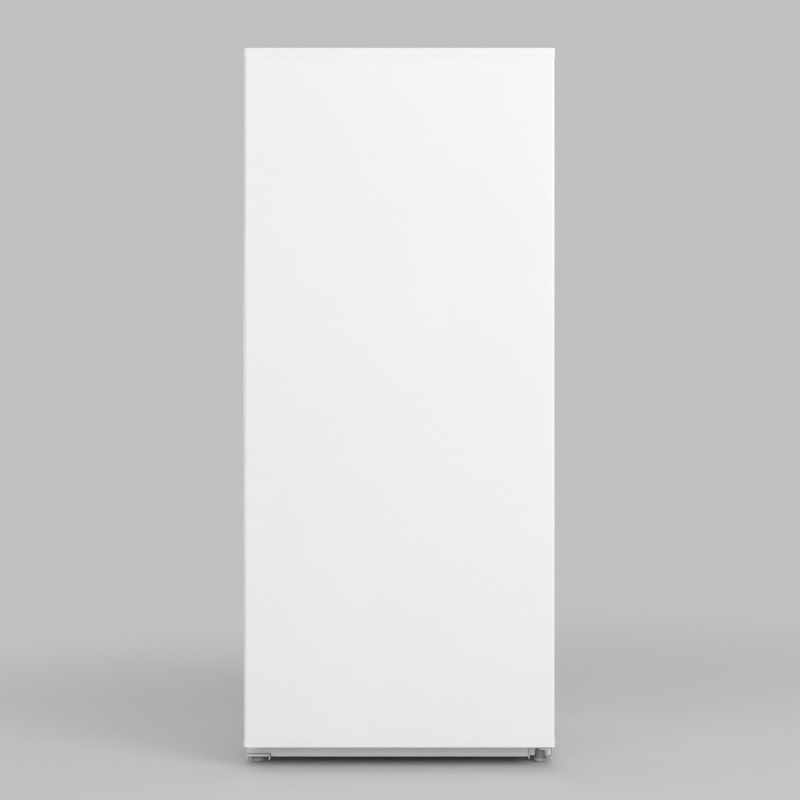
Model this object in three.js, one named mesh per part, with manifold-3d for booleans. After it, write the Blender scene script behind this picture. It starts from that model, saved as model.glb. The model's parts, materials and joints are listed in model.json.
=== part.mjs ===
// An upright freezer: a foamed steel cabinet, a full-height door hung on its right side, glass
// shelves, a drawer and door bins inside, and a machine room with the compressor low at the rear.
// Millimetres. X runs across the front, -Y is the front, +Z is up, and the floor is Z = 0.
import * as THREE from "three";
import { mergeVertices } from "three/addons/utils/BufferGeometryUtils.js";
import Module from "manifold-3d";

const wasm = await Module();
wasm.setup();

// ---------------------------------------------------------------- driving dimensions

const CLEARANCE = 0.3; // between separate pieces that seat on each other
const OVERCUT = 1; // how far a cutting solid runs past the face that it opens

// Cabinet. A name ending in Wall is the whole wall: sheet, foam and liner together.
const CABINET = {
  width: 830,
  depth: 655,
  top: 1912,
  underside: 56,
  sideBottom: 22, // the side panels reach lower than the foamed underside
  sheet: 1,
  bend: 6, // outer radius where the sides turn into the top
  sideWall: 66,
  topWall: 70,
  rearWall: 62,
  floorWall: 70,
};
const LINER = { wall: 2, corner: 14, lipWide: 8, lipProud: 1.5, ledge: 12, ledgeHeight: 8 };
const STEP = { depth: 260, wall: 60 }; // the machine room, and the foam between it and the food

// Door
const DOOR = {
  thick: 62,
  bottom: 60,
  aboveCabinet: 16,
  edge: 9, // radius of its upright front edges
  skinReturn: 14, // the skin's flange behind the door
  linerMargin: 6, // from the door's side to its liner's edge
  linerEndGap: 4,
};
const GASKET = { gap: 8, width: 16, corner: 6, pastHinge: 2, aboveSkin: 10, belowTop: 26 };
const TOP_CAP = { height: 26, wall: 3, proud: 1.2, corner: 4 };
const BOTTOM_CAP = { height: 22, wall: 3, proud: 1.2, corner: 4 };
const PLUG = { clearance: 12, depth: 25 }; // the flat of the door's liner inside the cabinet's mouth
const DYKE = { depth: 66, width: 30, aboveDrawer: 48 }; // the raised frame that carries the bins
const BIN = {
  count: 5,
  aboveDyke: 46,
  behind: 1, // from the plug to the bin
  depth: 104,
  height: 100,
  lowSide: 64,
  wall: 2.5,
  sideGap: 1,
  footRadius: 14,
  heelRadius: 4,
  rim: { depth: 14, radius: 3 },
  ledge: { reach: 10, height: 8, depth: 34 },
};
const HANDLE = { bottom: 930, height: 300, width: 32, depth: 22, fromBack: 12, wall: 2 };

// Hinges
const HINGE = { fromSide: 23, fromFace: 29, pin: 4, pinHead: 3, pinHeadHeight: 3 };
const BUSHING = { bore: 0.5, wall: 4.5, length: 30, belowDoor: 1 }; // bore is its play on the pin
const TOP_PLATE = { thick: 3, arm: 13, length: 67, depth: 60, corner: 8, fromPin: 8, fromFront: 8 };
const TOP_COVER = { wall: 1.5, height: 14, margin: 4 };
const RECESS = { depth: 18, left: 50, lip: 6 }; // pocket for the top hinge in the door's top cap
const BRACKET = { width: 64, plate: 3.7, wall: 3, bottom: 15, depth: 95, ahead: 1, legSetback: 4 };
const TONGUE = { left: 18, right: 14, front: 15, corner: 12, overlap: 3 };
const BOTTOM_PIN = { collar: 4, engaged: 22 };

// Feet, rollers and the frame under the cabinet
const FOOT = {
  radius: 19,
  flat: 12,
  edge: 2, // step between the dome and the widest radius
  edgeHeight: 2.5,
  band: 4,
  rim: 11,
  shoulder: 3,
  barrel: 13,
  stud: 4.5,
  play: 0.7,
  nutWall: 4.5,
  nutHeight: 8,
  fromSide: 30,
  behindFront: 42,
};
const LEFT_FOOT = { plateBottom: 27, plate: 3, ahead: 22, corner: 8, legBottom: 12, gap: 3, stud: 18 };
const RIGHT_FOOT = { barrelGap: 4, studAbove: 12 };
const STUD_POCKET = { play: 2.5, depth: 15 }; // room for the right foot's stud in the foam
const KICKPLATE = { setback: 1, flange: 14, wall: 2, sideGap: 1, notchGap: 1, legGap: 0.2 };
const ROLLER = { radius: 20, width: 18, axle: 4, play: 0.5, fromBack: 30, room: 3 };
const AXLE_HEAD = { proud: 3, thick: 2, gap: 1 };
const RAIL = { web: 2, flange: 34, bottom: 24, behindBracket: 4, lug: 12, lugBelowAxle: 3 };
const TRAY = { sheet: 2, lip: 12, seat: 8, seatHeight: 12, sideGap: 9, frontGap: 6, rearGap: 6 };

// Inside fittings
const SHELF = {
  count: 4,
  first: 430,
  rail: 18,
  height: 14,
  glass: 4,
  rebate: 5,
  sideGap: 2,
  rearGap: 4,
  corner: 10,
  frontGap: 12,
  ledgeSetback: 10,
};
const DRAWER = {
  belowShelf: 38,
  wall: 3,
  corner: 12,
  floorGap: 8,
  frontGap: 12,
  rearGap: 8,
  sideGap: 5,
  rim: 8, // the rims' underside below its top edge
  rimThick: 3,
  rimSideGap: 4,
  rimFront: 40,
  rimRear: 12,
  railFront: 20,
  railRear: 4,
  gripHalf: 90,
  gripDepth: 24,
};
const COVER = { gap: 75, wall: 3, sideGap: 49 }; // the panel in front of the evaporator
const COVER_SLOT = { inner: 90, sideMargin: 90, height: 12, aboveShelf: 160 };
const RETURN_SLOT = { count: 6, pitch: 75, width: 45, height: 12, aboveFloor: 26 };
const GRILLE = { bars: 5, pitch: 16, bar: 4, recess: 0.5, overlap: 3, margin: 5 };
const FAN = { height: 800, radius: 48, hub: 14, hubDepth: 14, blades: 5, behindCover: 6 };
const FAN_BLADE = { chord: 26, thick: 1.6, pitch: 0.45, overlap: 2, front: 7 }; // pitch in radians
const FAN_MOTOR = { radius: 26, length: 28, hubGap: 4, strap: 18, sheet: 3, post: 6, reach: 14 };
const FAN_SHAFT = { radius: 2.4, play: 0.8, length: 13, bore: 13 };
const COIL = { sideGap: 100, bottom: 400, height: 240, fins: 24, fin: 1.2, depth: 34, backing: 2 };
const COIL_TUBE = { radius: 4, gap: 2, passes: 6, overhang: 6, margin: 20, bend: 6, lane: 14 };
const HEATER = { radius: 3, inset: 10, spread: 18, behind: 10, bend: 8 };
const CONTROL = { width: 280, depth: 210, height: 36, wall: 2.5, corner: 8, behindShelfEdge: 6 };
const LENS = { left: -105, right: 45, front: 30, rear: 150, thick: 2, margin: 4, overlap: 0.5 };
const KNOB = { x: 85, radius: 15, dial: 5, grip: 15, gripHalf: 3.5, inset: 1.5, shaft: 3.2, play: 0.6 };
const KNOB_SHAFT = { overlap: 1, inside: 6 };

// Machine room
const COMPRESSOR = {
  radius: 75, // over the weld seam
  seam: 3,
  seamHalf: 4,
  seamAt: 0.55, // share of its height
  height: 147,
  plate: 3,
  plateMargin: 14,
  plateInset: 5,
  plateCorner: 10,
  foot: 16,
  footHeight: 12,
  shoulder: { inset: 20, drop: 10 },
  crown: { inset: 40, drop: 34 },
  seatX: 4,
  seatY: 15,
};
const TERMINALS = { width: 56, depth: 32, wall: 2, bottom: 18, top: 76 };
const PAN = { length: 166, offset: 2, front: 29, rear: 4, height: 34, wall: 2, corner: 12, headroom: 25 };
const DRAIN = { radius: 9, bore: 7, flange: 4, flangeThick: 2, fromBack: 30, left: 40, dip: 8 };
const SUCTION = { radius: 4, below: 50, out: 38, besideCoil: 33, belowCoil: 12, bend: 14 };
const CONDENSER = {
  radius: 2.5,
  inset: 6,
  runs: 5,
  pitch: 80,
  low: 340,
  belowTop: 72,
  overTop: 24, // below the top of the cabinet where it crosses to the other side
  height: 40,
  jog: 60,
  bend: 8,
};
const DRIER = { beside: 50, radius: 9, inlet: 3, taper: 12, bottom: 120, height: 108 };
const PIPE_ROOM = 0.6; // how much wider than a pipe its passage is
const REAR_COVER = {
  standoff: 12,
  wall: 1.5,
  aboveSides: 12,
  overlap: 20, // above the machine room's ceiling
  rows: 9,
  rowPitch: 17,
  firstRow: 40,
  slotInner: 90,
  slotMargin: 84,
  slotHeight: 5,
};
const GLAND = { radius: 9, bore: 4, flange: 3, depth: 4, fromSide: 45, height: 120 };

// Flat sides that stand in for round ones
const SIDES = { pipe: 6, nut: 6, pin: 12, shaft: 12, bar: 16, foot: 20, dial: 20, wheel: 24, can: 24 };
const ARC_STEPS = 3; // in a rounded corner
const BEND_STEPS = 2; // in a bend of a pipe
const WELD = 1e-4; // corners closer than this are one corner

// ---------------------------------------------------------------- places worked out from them

const halfWidth = CABINET.width / 2;
const overallDepth = DOOR.thick + GASKET.gap + CABINET.depth + REAR_COVER.standoff;
const doorFront = -overallDepth / 2;
const doorBack = doorFront + DOOR.thick;
const cabinetFront = doorBack + GASKET.gap;
const cabinetBack = cabinetFront + CABINET.depth;
const sheetInner = halfWidth - CABINET.sheet; // inner face of the side panels
const innerHalf = halfWidth - CABINET.sideWall;
const innerTop = CABINET.top - CABINET.topWall;
const innerFloor = CABINET.underside + CABINET.floorWall;
const innerBack = cabinetBack - CABINET.rearWall;
const lowerRailTop = innerFloor - LINER.wall; // where the cabinet's front meets the liner

const trayBottom = RAIL.bottom + RAIL.web + CLEARANCE;
const trayTop = trayBottom + TRAY.sheet;
const compressorBase = trayTop + TRAY.seatHeight + CLEARANCE;
const compressorTop = compressorBase + COMPRESSOR.plate + COMPRESSOR.height;
const canRadius = COMPRESSOR.radius - COMPRESSOR.seam;
const stepTop = compressorTop + PAN.height + PAN.headroom; // ceiling of the machine room
const stepFront = cabinetBack - STEP.depth;
const humpTop = stepTop + STEP.wall;
const humpFront = stepFront - STEP.wall;

const hingeX = halfWidth - HINGE.fromSide;
const hingeY = doorFront + HINGE.fromFace;
const pinSeat = CABINET.underside - CLEARANCE; // top of the bottom hinge's tongue
const doorRest = DOOR.bottom - BUSHING.belowDoor; // lower end of the bushing that carries the door
const skinBottom = DOOR.bottom + BOTTOM_CAP.height;
const doorTop = CABINET.top + DOOR.aboveCabinet;
const skinTop = doorTop - TOP_CAP.height;
const recessFloor = doorTop - RECESS.depth;
const plugHalf = innerHalf - PLUG.clearance;
const plugBack = doorBack + PLUG.depth;
const plugBottom = innerFloor + PLUG.clearance;
const plugTop = innerTop - PLUG.clearance;

const shelfPitch = (innerTop - SHELF.first) / SHELF.count;
const shelfHeights = Array.from({ length: SHELF.count }, (_, i) => SHELF.first + i * shelfPitch);
const coverFront = innerBack - COVER.gap;
const coverHalf = innerHalf - COVER.sideGap;
const shelfFront = plugBack + BIN.behind + BIN.depth + SHELF.frontGap;
const shelfBack = coverFront - SHELF.rearGap;

const drawerTop = SHELF.first - DRAWER.belowShelf;
const drawerFront = plugBack + DRAWER.frontGap;
const drawerBack = humpFront - DRAWER.rearGap;
const drawerHalf = innerHalf - LINER.ledge - DRAWER.sideGap;
const drawerRail = drawerTop - DRAWER.rim - CLEARANCE; // top of the rails that its rims run on
const dykeBottom = drawerTop + DYKE.aboveDrawer;
const dykeInner = plugHalf - DYKE.width;
const firstBin = dykeBottom + BIN.aboveDyke;
const binPitch = (plugTop - DYKE.width - firstBin) / BIN.count;
const binHeights = Array.from({ length: BIN.count }, (_, i) => firstBin + i * binPitch);

const coilHalf = coverHalf - COIL.sideGap;
const coilTubeY = innerBack - COIL.depth - COIL_TUBE.gap - COIL_TUBE.radius;
const laneY = coilTubeY - COIL_TUBE.lane; // the tube's way back down, ahead of its passes
const suctionX = coilHalf + SUCTION.besideCoil;
const compressorX = suctionX - SUCTION.out - COMPRESSOR.radius;
const drierX = -coilHalf - DRIER.beside;
const drainX = compressorX - DRAIN.left;
const drainY = innerBack - DRAIN.fromBack;

const studX = halfWidth - FOOT.fromSide;
const studY = cabinetFront + FOOT.behindFront;
const railFront = cabinetFront + BRACKET.depth + RAIL.behindBracket;
const railOuter = sheetInner - CLEARANCE;
const rollerX = railOuter - RAIL.web - ROLLER.room - ROLLER.width / 2;
const rollerY = cabinetBack - ROLLER.fromBack;
const trayFront = stepFront + TRAY.frontGap;
const trayBack = rollerY - ROLLER.radius - TRAY.rearGap;
const compressorY = (trayFront + trayBack) / 2;
const coverBottom = CABINET.sideBottom + REAR_COVER.aboveSides;
const glandX = GLAND.fromSide - halfWidth;

// ---------------------------------------------------------------- materials

const paint = (color, roughness, metalness) =>
  new THREE.MeshStandardMaterial({ color, roughness, metalness });
const MATERIALS = {
  whitePaint: paint(0xf0f1f2, 0.35, 0.1),
  whitePlastic: paint(0xf2f3f3, 0.45, 0),
  greyPlastic: paint(0xa7a8a9, 0.5, 0),
  greySteel: paint(0xb4b5b8, 0.4, 0.6),
  zincSteel: paint(0xb9bcbf, 0.35, 0.9),
  blackPaint: paint(0x1c1c1e, 0.4, 0.2),
  foam: paint(0xe8dcae, 0.95, 0),
  gasket: paint(0xd9dadb, 0.7, 0),
  clearPlastic: paint(0xdfe8ec, 0.15, 0),
  glass: paint(0xd8e6e4, 0.05, 0),
  aluminium: paint(0xc8cacc, 0.35, 0.9),
  copper: paint(0xb87348, 0.35, 0.9),
  blackPlastic: paint(0x2a2b2d, 0.6, 0),
};

// ---------------------------------------------------------------- solid helpers

/** A closed three.js geometry as a solid. A geometry that came out inside out is turned round. */
function solidFrom(geometry) {
  const bare = geometry.index ? geometry.toNonIndexed() : geometry;
  const points = new THREE.BufferGeometry().setAttribute("position", bare.getAttribute("position"));
  const merged = mergeVertices(points, WELD);
  const vertProperties = merged.attributes.position.array;
  const build = (triVerts) =>
    new wasm.Manifold(new wasm.Mesh({ numProp: 3, vertProperties, triVerts }));
  const triangles = new Uint32Array(merged.index.array);
  const solid = build(triangles);
  return solid.volume() > 0 ? solid : build(triangles.reverse());
}

/** A box between exact planes: x, y and z are each [low, high]. */
function block(x, y, z) {
  const geometry = new THREE.BoxGeometry(1, 1, 1);
  const position = geometry.getAttribute("position");
  const side = (value) => (value > 0 ? 1 : 0);
  for (let i = 0; i < position.count; i += 1) {
    const corner = [x[side(position.getX(i))], y[side(position.getY(i))], z[side(position.getZ(i))]];
    position.setXYZ(i, ...corner);
  }
  return solidFrom(geometry);
}

/** An outline of [u, v] points pushed along axis between two exact planes. */
function prism(outline, axis, low, high) {
  const shape = new THREE.Shape(outline.map(([u, v]) => new THREE.Vector2(u, v)));
  const geometry = new THREE.ExtrudeGeometry(shape, { depth: 1, bevelEnabled: false });
  const position = geometry.getAttribute("position");
  for (let i = 0; i < position.count; i += 1) {
    const [u, v, w] = [position.getX(i), position.getY(i), position.getZ(i) > 0.5 ? high : low];
    if (axis === "x") position.setXYZ(i, w, u, v);
    else if (axis === "y") position.setXYZ(i, u, w, v);
    else position.setXYZ(i, u, v, w);
  }
  return solidFrom(geometry);
}

/** Points of a circle, counter-clockwise. */
function circle(u, v, radius, sides) {
  return Array.from({ length: sides }, (_, i) => {
    const angle = ((2 * Math.PI) / sides) * (i + 0.5);
    return [u + radius * Math.cos(angle), v + radius * Math.sin(angle)];
  });
}

/** A round bar along axis, centred on (u, v) of the other two. */
const rod = (u, v, radius, axis, low, high, sides = SIDES.bar) =>
  prism(circle(u, v, radius, sides), axis, low, high);

/** The outline with each corner [u, v, radius] rounded by an arc of a few steps. */
function rounded(corners, steps = ARC_STEPS) {
  const count = corners.length;
  return corners.flatMap(([u, v, radius = 0], i) => {
    if (!radius) return [[u, v]];
    const corner = new THREE.Vector2(u, v);
    const toward = (j) => new THREE.Vector2(corners[j][0], corners[j][1]).sub(corner).normalize();
    const before = toward((i + count - 1) % count);
    const after = toward((i + 1) % count);
    const half = before.angleTo(after) / 2;
    const reach = radius / Math.tan(half);
    const centre = before.clone().add(after).setLength(radius / Math.sin(half)).add(corner);
    const start = before.clone().multiplyScalar(reach).add(corner).sub(centre);
    const end = after.clone().multiplyScalar(reach).add(corner).sub(centre);
    const turn = Math.atan2(start.cross(end), start.dot(end));
    return Array.from({ length: steps + 1 }, (_, k) => {
      const p = start.clone().rotateAround(new THREE.Vector2(), (turn * k) / steps).add(centre);
      return [p.x, p.y];
    });
  });
}

/** A rectangle's outline with one radius at every corner. */
const rectangle = ([u0, u1], [v0, v1], radius) =>
  rounded([[u0, v0, radius], [u1, v0, radius], [u1, v1, radius], [u0, v1, radius]]);

/** A solid of revolution about an upright axis at (x, y), from [radius, z] points. */
function turned(x, y, profile, sides) {
  const geometry = new THREE.LatheGeometry(profile.map(([r, z]) => new THREE.Vector2(r, z)), sides);
  return solidFrom(geometry.rotateX(Math.PI / 2).translate(x, y, 0));
}

/** A path through given points, one step to each, for a swept tube. */
class Route extends THREE.Curve {
  constructor(points) {
    super();
    this.points = points;
  }
  getPoint(t) {
    const place = Math.min(Math.max(t, 0), 1) * (this.points.length - 1);
    const index = Math.min(Math.floor(place), this.points.length - 2);
    return this.points[index].clone().lerp(this.points[index + 1], place - index);
  }
  getPointAt(t) {
    return this.getPoint(t);
  }
  getTangentAt(t) {
    return this.getTangent(t);
  }
}

/** The corners of a pipe run, each bent in steps that start the given radius before it. */
function bent(corners, radius) {
  const points = corners.map((c) => new THREE.Vector3(...c));
  return points.flatMap((corner, i) => {
    if (i === 0 || i === points.length - 1) return [corner];
    const before = points[i - 1].clone().sub(corner).setLength(radius).add(corner);
    const after = points[i + 1].clone().sub(corner).setLength(radius).add(corner);
    return new THREE.QuadraticBezierCurve3(before, corner, after).getPoints(BEND_STEPS);
  });
}

/** A closed tube of the given radius along a list of points. */
function tube(points, radius) {
  const section = circle(0, 0, radius, SIDES.pipe).map(([u, v]) => new THREE.Vector2(u, v));
  const options = { extrudePath: new Route(points), steps: points.length - 1 };
  return solidFrom(new THREE.ExtrudeGeometry(new THREE.Shape(section), options));
}

const join = (first, ...others) => others.reduce((all, next) => all.add(next), first);
const cut = (first, ...others) => others.reduce((all, next) => all.subtract(next), first);

/** The span between two distances from the middle, on the side given as -1 or 1. */
const span = (side, from, to) => [side * from, side * to].sort((a, b) => a - b);

/** The range moved outwards at both ends, or inwards if by is negative. */
const grown = ([low, high], by) => [low - by, high + by];

/** A named mesh of a solid, placed at position. */
function piece(name, material, solid, position = [0, 0, 0]) {
  const { numProp, numVert, vertProperties, triVerts } = solid.getMesh();
  const points = new Float32Array(numVert * 3);
  for (let i = 0; i < numVert; i += 1) {
    points.set(vertProperties.subarray(i * numProp, i * numProp + 3), i * 3);
  }
  const geometry = new THREE.BufferGeometry();
  geometry.setAttribute("position", new THREE.BufferAttribute(points, 3));
  geometry.setIndex(new THREE.BufferAttribute(triVerts, 1));
  geometry.computeVertexNormals();
  const mesh = new THREE.Mesh(geometry, MATERIALS[material]);
  mesh.name = name;
  mesh.position.set(...position);
  return mesh;
}

// ---------------------------------------------------------------- pipes that pass through walls

const suctionZ = compressorTop - SUCTION.below;
const suctionEnd = COIL.bottom - SUCTION.belowCoil;
const suctionPath = bent(
  [
    [compressorX + canRadius + CLEARANCE, compressorY, suctionZ],
    [suctionX, compressorY, suctionZ],
    [suctionX, coilTubeY, suctionZ],
    [suctionX, coilTubeY, suctionEnd],
  ],
  SUCTION.bend,
);

/** The evaporator's tube: from the suction line, to and fro across the fins, down to the drier. */
function evaporatorRoute() {
  const reach = coilHalf + COIL_TUBE.overhang;
  const pitch = (COIL.height - 2 * COIL_TUBE.margin) / (COIL_TUBE.passes - 1);
  const last = COIL_TUBE.passes - 1;
  const corners = [[suctionX, coilTubeY, suctionEnd + CLEARANCE]];
  for (let i = 0; i <= last; i += 1) {
    const z = COIL.bottom + COIL_TUBE.margin + i * pitch;
    const right = i === 0 || i === last ? suctionX : reach;
    const [from, to] = i % 2 ? [-reach, right] : [right, -reach];
    corners.push([from, coilTubeY, z], [to, coilTubeY, z]);
  }
  const [topX, , topZ] = corners.at(-1);
  corners.push([topX, laneY, topZ], [drierX, laneY, topZ]);
  corners.push([drierX, laneY, DRIER.bottom + DRIER.height + CLEARANCE]);
  return bent(corners, COIL_TUBE.bend);
}

/** The condenser's tube: from the compressor, up and down inside both side walls, to the drier. */
function condenserRoute() {
  const wallX = sheetInner - CONDENSER.inset;
  const lastY = compressorY - (CONDENSER.runs - 1) * CONDENSER.pitch;
  const high = CABINET.top - CONDENSER.belowTop;
  const overTop = CABINET.top - CONDENSER.overTop;
  const height = compressorBase + CONDENSER.height;
  const upAndDown = (side) => {
    const corners = [];
    for (let i = 0; i < CONDENSER.runs; i += 1) {
      const y = compressorY - i * CONDENSER.pitch;
      const [from, to] = i % 2 ? [high, CONDENSER.low] : [CONDENSER.low, high];
      corners.push([side * wallX, y, from], [side * wallX, y, to]);
    }
    // The first run comes straight up from the machine room and the last goes on over the top.
    return corners.slice(1, -1);
  };
  const corners = [
    [compressorX + canRadius + CLEARANCE, compressorY, height],
    [wallX, compressorY, height],
    ...upAndDown(1),
    [wallX, lastY, overTop],
    [-wallX, lastY, overTop],
    ...upAndDown(-1).reverse(),
    [-wallX, compressorY, height],
    [-wallX + CONDENSER.jog, laneY, height],
    [drierX, laneY, height],
    [drierX, laneY, DRIER.bottom - CLEARANCE],
  ];
  return bent(corners, CONDENSER.bend);
}

const evaporatorPath = evaporatorRoute();
const condenserPath = condenserRoute();
const passages = join(
  tube(suctionPath, SUCTION.radius + PIPE_ROOM),
  tube(evaporatorPath, COIL_TUBE.radius + PIPE_ROOM),
  tube(condenserPath, CONDENSER.radius + PIPE_ROOM),
  rod(drainX, drainY, DRAIN.radius + PIPE_ROOM, "z", compressorTop, humpTop + OVERCUT, SIDES.pin),
);
const studPocket = rod(
  studX,
  studY,
  FOOT.stud + STUD_POCKET.play,
  "z",
  CABINET.underside - OVERCUT,
  CABINET.underside + STUD_POCKET.depth,
  SIDES.pin,
);

// ---------------------------------------------------------------- cabinet

/** The cabinet's outline seen from the front, set in by the given amount, down to bottom. */
function cabinetOutline(inset, bottom) {
  const side = halfWidth - inset;
  const top = CABINET.top - inset;
  const bend = CABINET.bend - inset;
  return rounded([[-side, bottom], [side, bottom], [side, top, bend], [-side, top, bend]]);
}

/** The food space as a solid, grown outwards, with the step that the machine room makes in it. */
function foodSpace(grow, front = cabinetFront) {
  const hollow = LINER.corner + grow;
  const outline = rounded([
    [front, innerFloor - grow],
    [humpFront + grow, innerFloor - grow, hollow],
    [humpFront + grow, humpTop - grow, LINER.corner - grow],
    [innerBack + grow, humpTop - grow, hollow],
    [innerBack + grow, innerTop + grow, hollow],
    [front, innerTop + grow],
  ]);
  return prism(outline, "x", -innerHalf - grow, innerHalf + grow);
}

function cabinetWrapper() {
  const bottom = CABINET.sideBottom;
  const sheet = cut(
    prism(cabinetOutline(0, bottom), "y", cabinetFront, cabinetBack),
    prism(
      cabinetOutline(CABINET.sheet, bottom - OVERCUT),
      "y",
      cabinetFront - OVERCUT,
      cabinetBack + OVERCUT,
    ),
  );
  const front = cut(
    prism(
      cabinetOutline(CABINET.sheet / 2, lowerRailTop),
      "y",
      cabinetFront,
      cabinetFront + CABINET.sheet,
    ),
    foodSpace(LINER.wall),
  );
  return join(sheet, front);
}

function cabinetBackPanel() {
  const outline = cabinetOutline(CABINET.sheet + CLEARANCE, stepTop);
  return prism(outline, "y", cabinetBack - CABINET.sheet, cabinetBack);
}

/** One bent sheet: lower front, underside, and the machine room's front wall and ceiling. */
function cabinetBottomPanel() {
  const sheet = CABINET.sheet;
  const [front, back, under] = [cabinetFront, cabinetBack - sheet - CLEARANCE, CABINET.underside];
  const outline = [
    [front, lowerRailTop],
    [front, under],
    [stepFront, under],
    [stepFront, stepTop],
    [back, stepTop],
    [back, stepTop + sheet],
    [stepFront - sheet, stepTop + sheet],
    [stepFront - sheet, under + sheet],
    [front + sheet, under + sheet],
    [front + sheet, lowerRailTop],
  ];
  return cut(prism(outline, "x", -sheetInner, sheetInner), passages, studPocket);
}

/** The foam between the sheets and the liner, just clear of them. */
function cabinetFoam() {
  const skin = CABINET.sheet + CLEARANCE;
  const outline = cabinetOutline(skin, CABINET.underside + skin);
  const machineRoom = block(
    [-halfWidth, halfWidth],
    [stepFront - skin, cabinetBack],
    [0, stepTop + skin],
  );
  return cut(
    prism(outline, "y", cabinetFront + skin, cabinetBack - skin),
    foodSpace(LINER.wall + CLEARANCE),
    machineRoom,
    passages,
    studPocket,
  );
}

/** The moulded liner: a lip round its mouth, ledges for the shelves, rails for the drawer. */
function innerLiner() {
  const lip = block(
    grown([-innerHalf, innerHalf], LINER.lipWide),
    [cabinetFront - LINER.lipProud, cabinetFront],
    grown([innerFloor, innerTop], LINER.lipWide),
  );
  const shell = cut(
    join(foodSpace(LINER.wall), lip),
    foodSpace(0, cabinetFront - LINER.lipProud - OVERCUT),
    passages,
  );
  const ledges = [-1, 1].flatMap((side) => {
    const across = span(side, innerHalf - LINER.ledge, innerHalf + LINER.wall / 2);
    const ledge = (y, top) => block(across, y, [top - LINER.ledgeHeight, top]);
    const drawerLedge = [drawerFront + DRAWER.railFront, humpFront - DRAWER.railRear];
    const shelfLedge = grown([shelfFront, shelfBack], -SHELF.ledgeSetback);
    return [ledge(drawerLedge, drawerRail), ...shelfHeights.map((z) => ledge(shelfLedge, z))];
  });
  return join(shell, ...ledges);
}

/** A side rail under the cabinet with the stub axle of its rear roller, on side -1 or 1. */
function baseRail(side) {
  const top = CABINET.underside - CLEARANCE;
  const inner = railOuter - RAIL.flange;
  const depth = [railFront, cabinetBack];
  const web = span(side, railOuter, railOuter - RAIL.web);
  const flange = span(side, railOuter, inner);
  const wheelRoom = block(
    span(side, railOuter - RAIL.web, inner - OVERCUT),
    grown([rollerY - ROLLER.radius, rollerY + ROLLER.radius], ROLLER.room),
    [0, RAIL.bottom + RAIL.web + OVERCUT],
  );
  const lug = block(
    web,
    [rollerY - RAIL.lug, rollerY + RAIL.lug],
    [ROLLER.radius - ROLLER.axle - RAIL.lugBelowAxle, RAIL.bottom + RAIL.web],
  );
  const wheelEnd = railOuter - RAIL.web - ROLLER.room - ROLLER.width - AXLE_HEAD.gap;
  const axle = span(side, railOuter - RAIL.web / 2, wheelEnd - AXLE_HEAD.thick / 2);
  const head = span(side, wheelEnd, wheelEnd - AXLE_HEAD.thick);
  const frame = join(
    block(web, depth, [RAIL.bottom, top]),
    block(flange, depth, [top - RAIL.web, top]),
    block(flange, depth, [RAIL.bottom, RAIL.bottom + RAIL.web]),
  );
  return join(
    cut(frame, wheelRoom),
    lug,
    rod(rollerY, ROLLER.radius, ROLLER.axle, "x", ...axle, SIDES.pin),
    rod(rollerY, ROLLER.radius, ROLLER.axle + AXLE_HEAD.proud, "x", ...head, SIDES.pin),
  );
}

/** The tray across the rails that carries the compressor on four raised seats. */
function compressorTray() {
  const across = grown([-railOuter, railOuter], -TRAY.sideGap);
  const seatX = COMPRESSOR.radius + COMPRESSOR.seatX;
  const seatY = COMPRESSOR.radius - COMPRESSOR.seatY;
  const seats = [[-1, -1], [1, -1], [1, 1], [-1, 1]].map(([sideX, sideY]) => {
    const [x, y] = [compressorX + sideX * seatX, compressorY + sideY * seatY];
    return rod(x, y, TRAY.seat, "z", trayTop - TRAY.sheet / 2, trayTop + TRAY.seatHeight, SIDES.pin);
  });
  return join(
    block(across, [trayFront, trayBack], [trayBottom, trayTop]),
    block(across, [trayFront, trayFront + TRAY.sheet], [trayBottom, trayTop + TRAY.lip]),
    block(across, [trayBack - TRAY.sheet, trayBack], [trayBottom, trayTop + TRAY.lip]),
    ...seats,
  );
}

/** The strip that closes the gap under the door, notched for the left foot's bracket. */
function kickplate() {
  const { wall, flange } = KICKPLATE;
  const across = [-railOuter, halfWidth - BRACKET.width - KICKPLATE.sideGap - CLEARANCE];
  const [bottom, top] = [CABINET.sideBottom, CABINET.underside - CLEARANCE];
  const front = cabinetFront + KICKPLATE.setback;
  const profile = [
    [front, bottom],
    [front + flange, bottom],
    [front + flange, bottom + wall],
    [front + wall, bottom + wall],
    [front + wall, top - wall],
    [front + flange, top - wall],
    [front + flange, top],
    [front, top],
  ];
  const notchX = [-halfWidth, -halfWidth + BRACKET.width + wall + KICKPLATE.notchGap];
  const behind = front + flange + OVERCUT;
  const plateTop = LEFT_FOOT.plateBottom + LEFT_FOOT.plate;
  const plateRoom = block(notchX, [front - OVERCUT, behind], [0, plateTop + KICKPLATE.notchGap]);
  const legRoom = block(notchX, [front + wall + KICKPLATE.legGap, behind], [0, CABINET.underside]);
  return cut(prism(profile, "x", ...across), plateRoom, legRoom);
}

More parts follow.
